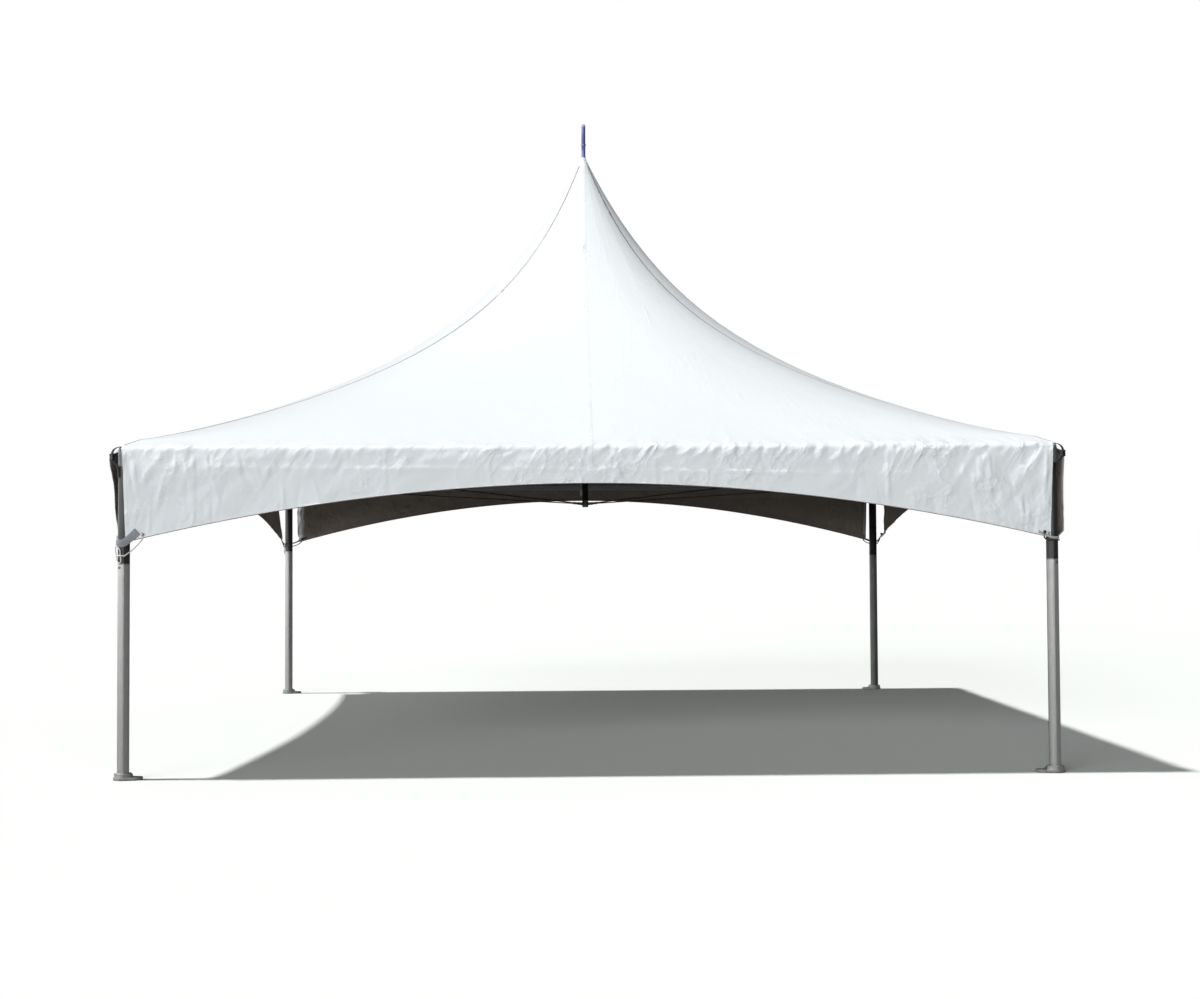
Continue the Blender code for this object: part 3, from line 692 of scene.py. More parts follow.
def block(builder, place, axes, size, bevel):
    """A block with cut edges, its size along its own three axes."""
    points = []
    half = np.array(size) / 2
    for number in range(8):
        sign = np.array([1 if number & 1 else -1, 1 if number & 2 else -1, 1 if number & 4 else -1])
        for flat_axis in range(3):
            inset = np.full(3, bevel)
            inset[flat_axis] = 0
            points.append(np.asarray(place) + (sign * (half - inset)) @ np.asarray(axes))
    builder.add_hull(points)


print("axes for an upward direction:", axes_of((0, 0, 1)).tolist())

# %% [markdown]
# ## Finishes that several materials share
# Each shared effect is a shader node group, built once. `grime` is a soft uneven mask of dirt,
# `threads` is the over and under of a weave seen as a height, `rubbing` is a mask of fine
# scratches drawn out in one direction, and `crumple` is the height of small sharp creases.

# %% Helpers for nodes
def new_group(name, inputs, output):
    """A shader node group with named inputs and one number output."""
    group = bpy.data.node_groups.new(name, "ShaderNodeTree")
    for label, value in inputs:
        kind = "NodeSocketVector" if value is None or isinstance(value, tuple) else "NodeSocketFloat"
        socket = group.interface.new_socket(name=label, in_out="INPUT", socket_type=kind)
        if value is not None:
            socket.default_value = value
    group.interface.new_socket(name=output, in_out="OUTPUT", socket_type="NodeSocketFloat")
    return group, group.nodes.new("NodeGroupInput").outputs, group.nodes.new("NodeGroupOutput").inputs


def add(tree, kind, values=None, links=None, **settings):
    """Adds a node, sets its settings and input values, and links outputs to its inputs."""
    node = tree.nodes.new("ShaderNode" + kind)
    for key, value in settings.items():
        setattr(node, key, value)
    for key, value in (values or {}).items():
        node.inputs[key].default_value = value
    for key, output in (links or {}).items():
        tree.links.new(output, node.inputs[key])
    return node


def fill(tree, group, values, links):
    """Places a shared group with its inputs filled in, and returns its output."""
    return add(tree, "Group", values, links, node_tree=group).outputs[0]


def ranged(tree, value, low, high, start=0.0, end=1.0, shape="LINEAR"):
    """A number that goes from start to end as another one goes from low to high."""
    limits = {"From Min": low, "From Max": high, "To Min": start, "To Max": end}
    return add(tree, "MapRange", limits, {"Value": value}, interpolation_type=shape).outputs["Result"]


def vary(tree, mask, low, high):
    """A number that a mask moves from low to high."""
    return ranged(tree, mask, 0.0, 1.0, low, high)


def times(tree, first, second):
    """One number multiplied by another."""
    return add(tree, "Math", None, {0: first, 1: second}, operation="MULTIPLY").outputs[0]


def dot(tree, vector, direction):
    """How far a vector reaches in a direction."""
    return add(tree, "VectorMath", {1: direction}, {0: vector}, operation="DOT_PRODUCT").outputs["Value"]


print("node helpers ready")

# %% Dirt, threads and rubbing as groups
inputs = [("Place", None), ("Scale", 2.0), ("Low", 0.4), ("High", 0.8)]
grime, given, result = new_group("grime", inputs, "Mask")
links = {"Vector": given["Place"], "Scale": given["Scale"]}
cloud = add(grime, "TexNoise", {"Detail": 6.0, "Roughness": 0.6}, links)
links = {"Value": cloud.outputs["Fac"], "From Min": given["Low"], "From Max": given["High"]}
spread = add(grime, "MapRange", None, links, interpolation_type="SMOOTHSTEP")
grime.links.new(spread.outputs["Result"], result["Mask"])

inputs = [("Place", None), ("Per metre", 500.0), ("Along share", 1.0)]
threads, given, result = new_group("threads", inputs, "Height")
pitch = add(threads, "Math", {1: math.pi / 10}, {0: given["Per metre"]}, operation="MULTIPLY")
waves = []
for axis in ("X", "Y"):
    links = {"Vector": given["Place"], "Scale": pitch.outputs[0]}
    wave = add(threads, "TexWave", {"Distortion": 0.0}, links, wave_type="BANDS", bands_direction=axis)
    waves.append(wave.outputs["Fac"])
faint = times(threads, waves[0], given["Along share"])
woven = add(threads, "Math", None, {0: faint, 1: waves[1]}, operation="MAXIMUM")
threads.links.new(woven.outputs[0], result["Height"])

inputs = [("Place", None), ("Stretch", (1.0, 1.0, 1.0)), ("Low", 0.45), ("High", 0.65)]
rubbing, given, result = new_group("rubbing", inputs, "Mask")
drawn = add(rubbing, "VectorMath", None, {0: given["Place"], 1: given["Stretch"]}, operation="MULTIPLY")
fine_noise = {"Scale": 1.0, "Detail": 5.0, "Roughness": 0.65}
hairs = add(rubbing, "TexNoise", fine_noise, {"Vector": drawn.outputs[0]})
links = {"Value": hairs.outputs["Fac"], "From Min": given["Low"], "From Max": given["High"]}
sharpened = add(rubbing, "MapRange", None, links)
rubbing.links.new(sharpened.outputs["Result"], result["Mask"])
print("groups:", [group.name for group in bpy.data.node_groups])

# %% Crumples as a group
crumple, given, result = new_group("crumple", [("Place", None), ("Per metre", 16.0)], "Height")
links = {0: given["Place"], "Scale": given["Per metre"]}
spaced = add(crumple, "VectorMath", None, links, operation="SCALE").outputs[0]
warp = add(crumple, "TexNoise", {"Scale": 0.8, "Detail": 2.0}, {"Vector": spaced})
bent = add(crumple, "VectorMath", {1: (1.1, 1.1, 1.1)}, {0: warp.outputs["Color"]}, operation="MULTIPLY")
moved = add(crumple, "VectorMath", None, {0: spaced, 1: bent.outputs[0]}, operation="ADD")
cells = add(crumple, "TexVoronoi", {"Scale": 1.0}, {"Vector": moved.outputs[0]})
bowls = add(crumple, "Math", {1: 2.0}, {0: cells.outputs["Distance"]}, operation="POWER")
patch = add(crumple, "TexNoise", {"Scale": 4.0, "Detail": 1.0}, {"Vector": given["Place"]})
height = times(crumple, bowls.outputs[0], ranged(crumple, patch.outputs["Fac"], 0.44, 0.64))
crumple.links.new(height, result["Height"])
print("inputs of crumple:", [name for name in given.keys() if name])

# %% [markdown]
# ## The vinyl
# The top is white PVC-coated polyester. Outside it is a cool white with a satin coat, through
# which the threads inside show as a very fine grid. The inside is a blackout coat in a warm dark
# grey, which keeps the sun out, so the material changes colour on the back of each face. Its
# darkness is partly its own colour and partly painted shade. It is patchy on the skirts, painted
# paler there as painted light, and painted darker under the roof as painted shade.

# %% Material helpers
def new_material(name, roughness, metallic=0.0):
    """A material with a Principled shader, returned with its tree and shader."""
    material = bpy.data.materials.new(name)
    material.use_nodes = True
    shader = material.node_tree.nodes["Principled BSDF"]
    shader.inputs["Roughness"].default_value = roughness
    shader.inputs["Metallic"].default_value = metallic
    return material, material.node_tree, shader


def mix(tree, factor, first, second):
    """Mixes two colours, each a tuple or an output, by a factor output."""
    node = add(tree, "Mix", None, {0: factor}, data_type="RGBA")
    for socket, colour in ((node.inputs[6], first), (node.inputs[7], second)):
        if isinstance(colour, tuple):
            socket.default_value = (*colour, 1)
        else:
            tree.links.new(colour, socket)
    return node.outputs[2]


def shade(colour, factor, added=0.0):
    """A colour made darker or lighter."""
    return tuple(min(1, value * factor + added) for value in colour)


def bumped(tree, shader, *layers):
    """Puts layers of relief on a shader, each a height output, its depth in metres and strength."""
    normal = None
    for height, depth, strength in layers:
        bump = add(tree, "Bump", {"Strength": strength, "Distance": depth}, {"Height": height})
        if normal is not None:
            tree.links.new(normal, bump.inputs["Normal"])
        normal = bump.outputs["Normal"]
    tree.links.new(normal, shader.inputs["Normal"])


def dirt(tree, place, scale, low, high):
    """The shared mask of dirt, with its scale and limits filled in."""
    return fill(tree, grime, {"Scale": scale, "Low": low, "High": high}, {"Place": place})


print("a mid grey at half its brightness:", shade((0.5, 0.5, 0.5), 0.5))


# %% Vinyl
def make_vinyl(name, outside, soiled, inside=None):
    """Coated vinyl, with the blackout coat on the backs of its faces where inside is given."""
    material, tree, shader = new_material(name, 0.46)
    place = add(tree, "TexCoord").outputs
    along, down = add(tree, "SeparateXYZ", None, {0: place["UV"]}).outputs[:2]
    soil = dirt(tree, place["Object"], 1.6, 0.50, 0.85)
    colour = mix(tree, soil, outside, soiled)
    if inside:
        behind = add(tree, "NewGeometry").outputs["Backfacing"]
        patchy = dirt(tree, place["Object"], 2.5, 0.35, 0.75)
        # Painted shade and light on the inside coat: darker under the roof, paler and patchy on the skirts.
        on_skirt = ranged(tree, down, -0.05, 0.05)
        skirt_coat_patchy_lit = mix(tree, patchy, inside, shade(inside, 1.22))
        colour = mix(tree, behind, colour, mix(tree, on_skirt, shade(inside, 0.50), skirt_coat_patchy_lit))
    tree.links.new(colour, shader.inputs["Base Color"])
    tree.links.new(vary(tree, soil, 0.42, 0.58), shader.inputs["Roughness"])
    weave = fill(tree, threads, {"Per metre": 500.0}, {"Place": place["UV"]})
    # The roof is nearly free of crumples, and slack grows down over the eave and to the right
    rightwards = ranged(tree, along, -1.8, 1.2, start=0.5)
    slack = times(tree, ranged(tree, down, -0.12, 0.02, start=0.10), rightwards)
    at_fold = ranged(tree, down, 0.22, 0.04, start=0.25)
    leaning = [dot(tree, place["UV"], direction) for direction in ((1.0, 0.55, 0.0), (0.0, 0.45, 0.0))]
    drawn_down = add(tree, "CombineXYZ", None, {0: leaning[0], 1: leaning[1]}).outputs[0]
    layers = [(weave, 0.0003, 0.12)]
    for where, per_metre, depth in (
        (place["Object"], 9.0, 0.0130),
        (place["Object"], 26.0, 0.0055),
        (drawn_down, 20.0, 0.0120),
    ):
        held = times(tree, fill(tree, crumple, {"Per metre": per_metre}, {"Place": where}), slack)
        if where is drawn_down:
            held = times(tree, held, at_fold)
        layers.append((held, depth, 1.0))
    bumped(tree, shader, *layers)
    return material


VINYL_WHITE = (0.83, 0.865, 0.88)
VINYL_SOILED = (0.785, 0.82, 0.835)
VINYL_INSIDE = (0.330, 0.284, 0.246)
vinyl = make_vinyl("white_vinyl", VINYL_WHITE, VINYL_SOILED, inside=VINYL_INSIDE)
vinyl_band = make_vinyl("white_vinyl_band", VINYL_WHITE, VINYL_SOILED)
vinyl_dark = make_vinyl("dark_vinyl_band", VINYL_INSIDE, shade(VINYL_INSIDE, 1.15))
vinyl_grey = make_vinyl("grey_vinyl_band", (0.62, 0.61, 0.57), (0.52, 0.51, 0.48))
vinyl_hip = make_vinyl("hip_tape", (0.40, 0.40, 0.41), (0.35, 0.35, 0.36))
print("vinyl:", vinyl.name, vinyl_band.name, vinyl_dark.name, vinyl_grey.name, vinyl_hip.name)

# %% [markdown]
# ## Joining the rings and the skirts
# Now the rings become faces. Between two zones each wide face above meets two narrow ones below,
# so three triangles fill the step. The skirts share the last ring's points, so nothing can open
# between the roof and its skirts.

# %% The canopy
cloth = Builder()


def flat_place(columns, number, ahead, down):
    """Cloth coordinates of points on a ring, some counted ahead of a column on the same side."""
    along = -HALF + 2 * HALF * (number % columns + ahead) / columns
    return np.stack([along, np.full(along.shape, down)], -1)


ring_starts = [cloth.add_points(points) for points in zones]
for zone, (columns, rows) in enumerate(ZONES):
    number = np.arange(4 * columns)
    after = (number + 1) % (4 * columns)
    for row in range(len(rows) - 1):
        high = ring_starts[zone] + row * 4 * columns
        low = high + 4 * columns
        corners = np.stack([high + number, low + number, low + after, high + after], -1)
        places = ((0, row), (0, row + 1), (1, row + 1), (1, row))
        flat = np.stack([flat_place(columns, number, ahead, rows[at][2]) for ahead, at in places], 1)
        cloth.add_faces(corners, flat)
    if zone == 2:
        break
    high = ring_starts[zone] + (len(rows) - 1) * 4 * columns
    low = ring_starts[zone + 1]
    down_low = ZONES[zone + 1][1][0][2]
    wide = [(high + number, 0, rows[-1][2]), (high + after, 1, rows[-1][2])]
    narrow = [(low + (2 * number + step) % (8 * columns), step / 2, down_low) for step in range(3)]
    (here, there), (first, second, third) = wide, narrow
    for triangle in ((here, first, second), (here, second, there), (there, second, third)):
        corners = np.stack([corner for corner, ahead, down in triangle], -1)
        flat = np.stack([flat_place(columns, number, ahead, down) for corner, ahead, down in triangle], 1)
        cloth.add_faces(corners, flat)

last_ring = ring_starts[2] + (len(ZONES[2][1]) - 1) * 4 * FINE
for numbers, points, coordinates in skirts:
    below = cloth.add_points(points[1:])
    hanging = below + np.arange((len(points) - 1) * points.shape[1]).reshape(-1, points.shape[1])
    cloth.join_grid(np.vstack([last_ring + numbers, hanging]), coordinates)

canopy = cloth.make(
    "canopy",
    [vinyl],
    replaced=["roof_panel_" + side for side in SIDES] + ["valance_" + side for side in SIDES],
    one_sided=True,
)

# %% [markdown]
# ## Hems and bound edges
# Every free edge of a tent top is turned and welded, and the arched hem holds a cord that keeps
# it taut. Each band is a thin closed strip that wraps the edge. It is laid exactly on the
# wrinkled skirt by reading places from the skirt's own grid, so it follows each crumple.

# %% Bands that wrap an edge
BAND_LIFT = 0.0012


def inward(grid, distance):
    """Points on the cloth this far in from the first row of a grid, along its columns."""
    steps = np.linalg.norm(np.diff(grid, axis=0), axis=2)
    run = np.vstack([np.zeros(grid.shape[1]), np.cumsum(steps, 0)])
    row = np.clip((run <= distance).sum(0) - 1, 0, grid.shape[0] - 2)
    column = np.arange(grid.shape[1])
    share = (distance - run[row, column]) / np.maximum(run[row + 1, column] - run[row, column], 1e-6)
    return grid[row, column] + (grid[row + 1, column] - grid[row, column]) * share[:, None]


def edge_band(builder, grid, out, width, bead, inside_and_shade_kind=1, puff=0.0):
    """Wraps the first row of a grid in a folded band with a bead, puffed up where it is crumpled."""
    edge = grid[0]
    ahead = unit(np.gradient(edge, axis=0))
    on_cloth = [inward(grid, width * share) for share in (1, 0.66, 0.33)] + [inward(grid, bead * 1.3)]
    into = on_cloth[2] - edge
    into = unit(into - ahead * (into * ahead).sum(1, keepdims=True))
    outward = np.cross(ahead, into)
    outward *= np.sign((outward * out).sum(1, keepdims=True))
    run = run_along(edge)
    slack = puff * np.abs(np.sin(run * 70 + 1.3 * np.sin(run * 41)))[:, None]
    edge = edge - into * slack * 1.1
    stand = [outward * (BAND_LIFT + slack * (0 < i < 3)) for i in range(4)]
    profile = [place + height for place, height in zip(on_cloth, stand)]
    for step in range(7):
        angle = math.radians(50 - 280 * step / 6)
        profile.append(edge + outward * (bead * math.cos(angle)) + into * (bead * math.sin(angle)))
    profile += [place - height for place, height in zip(on_cloth[::-1], stand[::-1])]
    rings = np.array(profile).transpose(1, 0, 2)
    # The bead's underside takes the same darker kind as the inside, a painted shade line under the edge.
    kinds = [0] * 5 + [inside_and_shade_kind] * 10
    around = np.arange(len(profile) + 1) * 0.004
    builder.add_tube(rings, np.stack(np.meshgrid(around, run), -1), kinds)


print("bands stand", BAND_LIFT * 1000, "mm proud")

# %% Hems, ends and corner edges
# Width of the bands at the first and last end of each skirt
END_BANDS = ((0.020, 0.020), (0.024, 0.030), (0.026, 0.048), (0.030, 0.024))
HEM_WIDTH = 0.050
HEM_BEAD = 0.0045
END_BEAD = 0.0022
PLAIN_END = {"inside_and_shade_kind": 2}
CRUMPLED_END = {"inside_and_shade_kind": 0, "puff": 0.016}
for side, name in enumerate(SIDES):
    numbers, grid, coordinates = skirts[side]
    out = OUTWARD[side]
    hem = Builder()
    edge_band(hem, grid[::-1], out, HEM_WIDTH, HEM_BEAD)
    first_width, last_width = END_BANDS[side]
    edge_band(hem, grid[:, :12].transpose(1, 0, 2), out, first_width, END_BEAD, **PLAIN_END)
    last_end = CRUMPLED_END if name == "back" else PLAIN_END
    edge_band(hem, grid[:, :-13:-1].transpose(1, 0, 2), out, last_width, END_BEAD, **last_end)
    hem.make("hem_" + name, [vinyl_band, vinyl_dark, vinyl_grey], sharp=60)

corner_lip = Builder()
for side in range(4):
    after = (side + 1) % 4
    start = side * FINE + skirt_columns(side)[1]
    stop = (side + 1) * FINE + skirt_columns(after)[0]
    columns = np.arange(start, stop + 1) % (4 * FINE)
    grid = zones[2][::-1][:8, columns]
    middle = grid[0].mean(0)
    edge_band(corner_lip, grid, unit((middle[0], middle[1], 0)), 0.014, END_BEAD)
corner_lip.make("corner_edges", [vinyl_band, vinyl_dark], sharp=60)

# %% [markdown]
# ## Welded seams
# The top is made from four panels joined on the hips, and each panel has a seam down its middle
# that runs down to near the hem. A welded seam is two layers thick, so it shows as a flat strip
# that stands a little proud. The middles have a white strip and the hips a narrow grey tape, and
# all of them run up to the patch at the peak. They are read off the wrinkled rings.

# %% Seams and the patch round the peak
SEAM_OFFSETS = np.array([-0.019, -0.0165, -0.006, 0.006, 0.0165, 0.019])
SEAM_LIFT = np.array([0.0002, 0.0011, 0.0013, 0.0013, 0.0011, 0.0002])
SEAM_WIDTH = 0.038
# The hip's tape and the middle seam: place along the side, shares of the width and lift, material
STRIPS = ((0, 0.6, 1.0, 1), (0.5, 1, 0.7, 0))
PATCH_LIFT = 0.0016
PATCH_EDGE_LIFT = 0.0005


def read_at(places, run, points):
    """Points of a path, or directions along it, read at distances from its start."""
    return np.stack([np.interp(places, run, points[:, axis]) for axis in range(3)], -1)


def ring_places(ring, start, offsets):
    """Points on a closed ring at distances either way from one of its points."""
    around = np.roll(ring, -start, axis=0)
    around = np.vstack([around, around[:1]])
    run = run_along(around)
    return read_at(offsets % run[-1], run, around)


def add_strip(builder, rows, lift, kind):
    """A thin closed strip that lies on rows of places on the cloth."""
    rows = np.array(rows)
    normal = surface_normals(rows, closed=False)
    rings = np.concatenate([rows + normal * lift[None, :, None], (rows - normal * 0.0004)[:, ::-1]], 1)
    around = np.append(np.tile(SEAM_OFFSETS, 2), SEAM_OFFSETS[0])
    run = run_along(rows[:, 2])
    builder.add_tube(rings, np.stack(np.meshgrid(around, run), -1), [kind] * 5 + [0] * 7)


for side, name in enumerate(SIDES):
    seam = Builder()
    for share, breadth, lift, kind in STRIPS:
        strip = []
        for (columns, rows), rings in zip(ZONES, zones):
            for (reach, height, down), ring in zip(rows, rings):
                room = np.linalg.norm(np.diff(ring, axis=0), axis=1).sum() / 9
                past_corner = share == 0 and down > -0.035
                if reach < PEAK_PATCH_REACH * 0.9 or past_corner:
                    continue
                narrowed = SEAM_OFFSETS * min(1, room / SEAM_WIDTH) * breadth
                strip.append(ring_places(ring, round((side + share) * columns), narrowed))
        if share:
            numbers, points, coordinates = skirts[side]
            for row in range(1, SKIRT_ROWS - 3):
                strip.append(read_at(SEAM_OFFSETS, coordinates[row, :, 0], points[row]))
        add_strip(seam, strip, SEAM_LIFT * lift, kind)
    seam.make("seams_" + name, [vinyl_band, vinyl_hip], sharp=60)

peak = Builder()
patch_rings = sum(reach < PEAK_PATCH_REACH for reach, height, down in ZONES[0][1])
peak_rows = zones[0][:patch_rings]
peak_normals = surface_normals(peak_rows)
stand = np.full(patch_rings, PATCH_LIFT)
stand[-1] = PATCH_EDGE_LIFT
outer, inner = peak_rows + peak_normals * stand[:, None, None], peak_rows - peak_normals * PATCH_EDGE_LIFT
peak.add_tube(np.concatenate([outer, inner[::-1]]), capped=False)
peak.make("peak_patch", [vinyl_band], sharp=60)

# %% [markdown]
# ## Metal finishes
# The tubes are mill-finish aluminium, scuffed along their length by years of sliding in and out
# of a truck. The scratches follow each tube, so there is one version for each direction. The
# legs' upper ends, under the skirts, are painted nearly black as painted shade from the skirts,
# and the back right leg and the mast are painted dark all over as painted shade, for they stand
# in the tent's shadow. The castings are duller and pitted, and a little dirt from the ground is
# left low on the legs and feet.

# %% Metals
def make_metal(name, colour, roughness, metallic, stretch, dirt_below=None, painted_shade_above=None, grain=0.0004):
    """Metal scratched along a direction and dulled unevenly, dirty low down, with painted shade high up."""
    material, tree, shader = new_material(name, roughness, metallic)
    place = add(tree, "TexCoord").outputs["Object"]
    level = add(tree, "SeparateXYZ", None, {0: place}).outputs["Z"]
    marks = fill(tree, rubbing, {"Stretch": stretch}, {"Place": place})
    dull = dirt(tree, place, 7.0, 0.40, 0.72)
    base = mix(tree, dull, colour, shade(colour, 0.90))
    base = mix(tree, vary(tree, marks, 0.0, 0.35), base, shade(colour, 1.35))
    if dirt_below:
        dusty = times(tree, ranged(tree, level, dirt_below, 0.0), dirt(tree, place, 22.0, 0.30, 0.62))
        base = mix(tree, dusty, base, (0.22, 0.20, 0.17))
    # Painted shade: above this height the colour is nearly black, where the skirt's shadow falls on the leg.
    if painted_shade_above:
        skirt_shadow_mask = ranged(tree, level, painted_shade_above, painted_shade_above + 0.012)
        base = mix(tree, skirt_shadow_mask, base, shade(colour, 0.12))
    tree.links.new(base, shader.inputs["Base Color"])
    tree.links.new(vary(tree, dull, roughness - 0.03, roughness + 0.06), shader.inputs["Roughness"])
    bumped(tree, shader, (marks, 0.0002, 0.15), (dull, grain, 0.3))
    return material


ALUMINIUM = (0.70, 0.70, 0.71)
ALUMINIUM_PALE = (0.88, 0.88, 0.87)
# Painted shade on the upright legs starts at 1.375 m, and at 1.444 m on the back left leg, where the skirts'
# shadow ends.
UPRIGHT = {"stretch": (260.0, 260.0, 3.0), "dirt_below": 0.07, "painted_shade_above": 1.375, "grain": 0.0001}
UPRIGHT_BEHIND = {**UPRIGHT, "painted_shade_above": 1.444}
CAST = {"stretch": (70.0, 70.0, 70.0), "grain": 0.0010}
tube_upright = make_metal("aluminium_upright", ALUMINIUM_PALE, 0.32, 0.45, **UPRIGHT)
tube_behind = make_metal("aluminium_upright_behind", ALUMINIUM_PALE, 0.32, 0.45, **UPRIGHT_BEHIND)
# A darker copy of the aluminium as painted shade, for the back right leg and the mast, which stand in the
# tent's shadow.
tube_shaded = make_metal("aluminium_painted_shade", (0.25, 0.25, 0.255), 0.45, 0.55, **UPRIGHT)
tube_x = make_metal("aluminium_along_x", ALUMINIUM, 0.38, 0.7, (5.0, 260.0, 260.0))
tube_y = make_metal("aluminium_along_y", ALUMINIUM, 0.38, 0.7, (260.0, 5.0, 260.0))
casting = make_metal("cast_metal", (0.36, 0.36, 0.37), 0.55, 0.75, **CAST)
casting_foot = make_metal("cast_metal_foot", (0.66, 0.66, 0.65), 0.50, 0.4, dirt_below=0.012, **CAST)
steel = make_metal("zinc_steel", (0.42, 0.42, 0.41), 0.36, 0.95, (120.0, 120.0, 120.0))
cable_steel = make_metal("cable_steel", (0.16, 0.14, 0.125), 0.45, 0.85, (60.0, 60.0, 60.0))
black_steel = make_metal("black_steel", (0.035, 0.035, 0.04), 0.38, 0.6, (90.0, 90.0, 90.0))
blue_paint = make_metal("blue_paint", (0.18, 0.22, 0.45), 0.34, 0.55, (90.0, 90.0, 12.0))
pale_cap = make_metal("pale_blue_cap", (0.42, 0.45, 0.72), 0.40, 0.0, (90.0, 90.0, 90.0))
print("materials so far:", [material.name for material in bpy.data.materials])


# %% The frame's finishes
def finish_solid(name, material, bevel):
    """Gives a kept solid its material and a small bevel on its hard edges."""
    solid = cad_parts[name]
    solid.data.materials.clear()
    solid.data.materials.append(material)
    edge = solid.modifiers.new("worn edges", "BEVEL")
    edge.width = bevel
    edge.segments = 2
    edge.limit_method = "ANGLE"
    edge.angle_limit = math.radians(40)
    edge.harden_normals = True


LEG_METAL = {"back_right": tube_shaded, "back_left": tube_behind}
for corner in CORNERS:
    finish_solid("leg_" + corner, LEG_METAL.get(corner, tube_upright), 0.0008)
    finish_solid("base_plate_" + corner, casting_foot, 0.0018)
    finish_solid("corner_fitting_" + corner, casting, 0.0012)
for side, name in enumerate(SIDES):
    finish_solid("eave_beam_" + name, tube_y if side % 2 else tube_x, 0.0008)
finish_solid("mast", tube_shaded, 0.0008)
finish_solid("mast_foot", casting, 0.0010)
finish_solid("mast_head", casting, 0.0008)
print("legs:", [LEG_METAL.get(corner, tube_upright).name for corner in CORNERS])

# %% [markdown]
# ## Cables that carry the mast
# Four wire ropes run from the ball corners to the foot of the short mast and hold it in the air.
# Each has six strands laid round a core, so its outline has six lobes and turns as it goes. A
# swaged fork with a bolt grips the eye at either end.

# %% Wire ropes with forks
CABLE_RADIUS = 0.00475
CABLE_MEET = np.array([0, 0, 1.838])
EYE_END = 0.088
LUG_END = 0.045
ROPE_PAST_EYE = 0.070
# The barrel's radius and its distance from the eye's tip, from the cheeks to the rope's end
FORK_BARREL = [(0.0085, 0.022), (0.0105, 0.026), (0.0100, 0.040)]
FORK_BARREL += [(0.0075, 0.046), (0.0075, 0.094), (0.0056, 0.098)]


def add_bolt(builder, place, direction, across_flats, length, nut=True):
    """A hexagon head and washer, with a nut on the far side, along a direction."""
    axis = axes_of(direction)
    radius = across_flats / math.sqrt(3)
    for sign in (1, -1) if nut else (1,):
        outer = np.asarray(place) + axis[2] * sign * length / 2
        lathe(builder, [(radius * 1.12, 0), (radius * 1.12, 0.0016)], outer, axis[2] * sign, 16)
        head = [(radius, 0.0016), (radius, 0.0058), (radius * 0.86, 0.0068)]
        lathe(builder, head, outer, axis[2] * sign, 6)


def add_fork(builder, eye_tip, away):
    """A fork whose cheeks reach over an eye plate's tip, with its barrel pointing away from it."""
    axes = axes_of(away)
    side = axes[0]
    for sign in (-1, 1):
        block(builder, eye_tip + side * sign * 0.0062 - away * 0.004, axes, (0.0036, 0.020, 0.044), 0.0008)
    block(builder, eye_tip + away * 0.020, axes, (0.0160, 0.018, 0.012), 0.0015)
    lathe(builder, FORK_BARREL, eye_tip, away, 20)
    add_bolt(builder, eye_tip - away * 0.014, side, 0.012, 0.0162)


for corner in CORNERS:
    top = on_leg_axis(corner, BEAM_HEIGHT)
    reach = unit(CABLE_MEET - top)
    rope = Builder()
    start = top + reach * (EYE_END + ROPE_PAST_EYE)
    stop = CABLE_MEET - reach * (LUG_END + ROPE_PAST_EYE)
    path = start + (stop - start) * np.linspace(0, 1, 330)[:, None]
    sweep(rope, path, lobed(CABLE_RADIUS, 6, 0.16, 12), turns_per_metre=9)
    rope.make("wire_rope_" + corner, [cable_steel], replaced=["mast_cable_" + corner])
    forks = Builder()
    add_fork(forks, top + reach * EYE_END, reach)
    add_fork(forks, CABLE_MEET - reach * LUG_END, -reach)
    forks.make("cable_forks_" + corner, [steel], sharp=35)

# %% [markdown]
# ## Bolts, buttons and the spire
# Bolts pin each tube on its spigot, on the inside where they don't rub the cloth. A spring
# button sits on each leg a little under the skirt. The spire above the peak is a painted tube
# with a pale cap, a pair of small pegs and a collar where it leaves the cloth.

# %% Fasteners
BOLT_REACH = 0.135
SOCKET_RADIUS = 0.056
BUTTON_HEIGHT = 1.362
BUTTON = [(0.0105, -0.0010), (0.0105, 0.0012), (0.0080, 0.0016)]
BUTTON += [(0.0060, 0.0018), (0.0055, 0.0050), (0.0030, 0.0068)]
for corner, (across, along) in CORNERS.items():
    fasteners = Builder()
    axis_place = on_leg_axis(corner)
    for place, inwards in (
        ((0, 0, BEAM_HEIGHT - BOLT_REACH), (-across, 0, 0)),
        ((-across * BOLT_REACH, 0, BEAM_HEIGHT), (0, -along, 0)),
        ((0, -along * BOLT_REACH, BEAM_HEIGHT), (-across, 0, 0)),
        ((0, 0, 0.030), (-across, 0, 0)),
    ):
        skin = SOCKET_RADIUS if place[2] < 0.1 else TUBE_RADIUS
        add_bolt(fasteners, axis_place + place + np.array(inwards) * skin, inwards, 0.013, 0.0, nut=False)
    facing = unit((across * 0.55, along * 0.83, 0))
    lathe(fasteners, BUTTON, axis_place + facing * TUBE_RADIUS + (0, 0, BUTTON_HEIGHT), facing, 20)
    fasteners.make("fasteners_" + corner, [steel], sharp=35)

